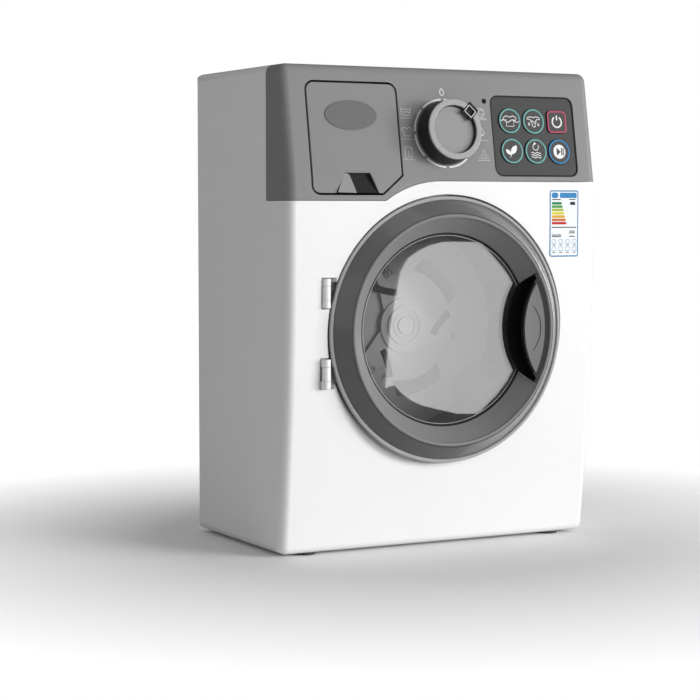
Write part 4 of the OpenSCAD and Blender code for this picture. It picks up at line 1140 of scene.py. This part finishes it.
# Bright part of the window's reflection, in millimetres about the door's centre
GLOW_TOP = arc(46, -37, 3, 4, (3, 3.5))
GLOW_RIGHT = arc(51.3, 42, 137, 9)
GLOW_FOOT = arc(44.8, 189, 228, 4)
GLOW_LEFT = arc(300, -87.8, -75.3, 4, (261, -43))
WINDOW_GLOW = [*GLOW_TOP, (23, 49), *GLOW_RIGHT, (22, -48.5), (8, -48), *GLOW_FOOT, *GLOW_LEFT]
CARD_REACH = 0.6

# The paper floor, and how bright it and the sky are in gloss
WHITE = (1, 1, 1)
GLOSS_LIGHT = 0.12
PAPER = (0.9, 0.9, 0.9)
FLOOR_FADE = (0.14, 0.36)
FLOOR_HALF = 5
FLOOR_FRONT = -3.0
FLOOR_BACK = 1.6
WALL_CURVE = (0.3, 0.6, 0.9, 1.2, 1.5)
WALL_TOP = (2.6, 4.0)


def set_camera(scene):
    camera = bpy.data.cameras.new("Camera")
    camera.lens = LENS
    camera.sensor_width = SENSOR
    camera.clip_end = CAMERA_REACH
    holder = bpy.data.objects.new("Camera", camera)
    holder.location = CAMERA_PLACE
    holder.rotation_euler = [math.radians(turn) for turn in CAMERA_TURN]
    scene.collection.objects.link(holder)
    scene.camera = holder


def area_light(name, place, aim, width, power):
    light = bpy.data.lights.new(name, "AREA")
    light.shape = "RECTANGLE"
    light.size = light.size_y = width
    light.energy = power
    holder = bpy.data.objects.new(name, light)
    holder.location = place
    holder.rotation_euler = (Vector(aim) - Vector(place)).to_track_quat("-Z", "Y").to_euler()
    bpy.context.scene.collection.objects.link(holder)
    return holder


def set_world(scene):
    """An even pale sky that shows white behind the toy and a dimmer grey in its gloss."""
    g = Graph(bpy.data.worlds.new("Studio"))
    scene.world = g.owner
    seen = g.node("ShaderNodeLightPath", output="Is Camera Ray")
    mirrored = g.node("ShaderNodeLightPath", output="Is Glossy Ray")
    lit = g.node("ShaderNodeMix", None, {0: seen, 2: sizes().room_light, 3: 1.0})
    strength = g.node("ShaderNodeMix", None, {0: mirrored, 2: lit, 3: GLOSS_LIGHT})
    sky = g.node("ShaderNodeBackground", None, {"Color": WHITE, "Strength": strength})
    g.node("ShaderNodeOutputWorld", None, {"Surface": sky})


def paper_floor():
    """Pale paper that keeps the toy's shadow and whitens away from it for the camera."""
    g = material_graph("Floor paper")
    paper = g.node("ShaderNodeBsdfPrincipled", None, {"Base Color": PAPER, "Roughness": 0.8})
    reach = g.node("ShaderNodeVectorMath", {"operation": "LENGTH"}, {0: g.place()}, output=1)
    near, far = FLOOR_FADE
    faded = (reach - near).maths("DIVIDE", far - near, clamp=True)
    seen = g.node("ShaderNodeLightPath", output="Is Camera Ray")
    mirrored = g.node("ShaderNodeLightPath", output="Is Glossy Ray")
    white, dim = g.emission(WHITE, 1.0), g.emission(WHITE, GLOSS_LIGHT)
    backed = g.node("ShaderNodeMixShader", None, {0: faded * seen, 1: paper, 2: white})
    return g.surface(g.node("ShaderNodeMixShader", None, {0: mirrored, 1: backed, 2: dim}))


def set_floor():
    """A floor that curves up into a wall far behind the toy."""
    bm = bmesh.new()
    profile = [(FLOOR_FRONT, 0.0), (FLOOR_BACK, 0.0)]
    profile += [(FLOOR_BACK + math.sin(t), 1.0 - math.cos(t)) for t in WALL_CURVE]
    profile += [WALL_TOP]
    row = [bm.verts.new((-FLOOR_HALF, y, z)) for y, z in profile]
    edges = [bm.edges.new(pair) for pair in zip(row, row[1:])]
    swept = bmesh.ops.extrude_edge_only(bm, edges=edges)
    far = [item for item in swept["geom"] if isinstance(item, bmesh.types.BMVert)]
    bmesh.ops.translate(bm, vec=(2 * FLOOR_HALF, 0, 0), verts=far)
    bmesh.ops.recalc_face_normals(bm, faces=bm.faces)
    for face in bm.faces:
        face.smooth = True
    linked_mesh("floor", bm, paper_floor())


def window_card():
    """A bright card, seen only in the gloss, that lies where the window mirrors the camera."""
    plane = span("door_window", DEEPER)[0]
    bm = bmesh.new()
    corners = []
    for right, up in WINDOW_GLOW:
        spot = Vector((right * MM, plane, DOOR_Z + up * MM))
        away = spot - CAMERA_PLACE
        corners.append(bm.verts.new(spot + Vector((away.x, -away.y, away.z)) * CARD_REACH))
    bm.faces.new(corners)
    card = linked_mesh("window_card", bm, glowing("Card light", WHITE, sizes().card_light))
    card.visible_camera = False
    card.visible_diffuse = False
    card.visible_shadow = False
    card.visible_transmission = False


class WASHER_OT_stage(bpy.types.Operator):
    """Set the floor, the lights, the camera and what the window mirrors"""

    bl_idname = "washer.stage"
    bl_label = "Stage"

    def execute(self, context):
        scene = context.scene
        scene.view_settings.view_transform = "Standard"
        set_camera(scene)
        set_world(scene)
        set_floor()
        for name, place, width, setting in STUDIO:
            light = area_light(name, place, LIGHT_AIM, width, getattr(sizes(), setting))
            light.visible_glossy = name not in MATT_LIGHTS
        lamp = (0, span("door_window", DEEPER)[1] + LAMP_BEHIND, DOOR_Z)
        area_light("Drum lamp", lamp, (0, 1, DOOR_Z), LAMP_WIDTH, LAMP_POWER)
        window_card()
        return {"FINISHED"}


PIECES = (
    WASHER_OT_cabinet,
    WASHER_OT_panel,
    WASHER_OT_knob,
    WASHER_OT_keys,
    WASHER_OT_drawer,
    WASHER_OT_label,
    WASHER_OT_door,
    WASHER_OT_handle,
    WASHER_OT_drum,
    WASHER_OT_inside,
    WASHER_OT_fasteners,
    WASHER_OT_stage,
)


class WASHER_PT_pieces(bpy.types.Panel):
    """The toy's pieces, colours and sizes"""

    bl_idname = "WASHER_PT_pieces"
    bl_label = "Toy Washer"
    bl_space_type = "VIEW_3D"
    bl_region_type = "UI"
    bl_category = "Toy Washer"

    def draw(self, context):
        for piece in PIECES:
            self.layout.operator(piece.bl_idname)
        for group in (sizes(), colours()):
            box = self.layout.box()
            for name in group.__annotations__:
                box.prop(group, name)


CLASSES = (WasherSizes, WasherColours, *PIECES, WASHER_PT_pieces)


def register():
    for kind in CLASSES:
        bpy.utils.register_class(kind)
    bpy.types.Scene.washer_sizes = PointerProperty(type=WasherSizes)
    bpy.types.Scene.washer_colours = PointerProperty(type=WasherColours)


def unregister():
    del bpy.types.Scene.washer_colours
    del bpy.types.Scene.washer_sizes
    for kind in reversed(CLASSES):
        bpy.utils.unregister_class(kind)


def main():
    register()
    for piece in PIECES:
        getattr(bpy.ops.washer, piece.bl_idname.split(".")[1])()


if __name__ == "__main__":
    main()
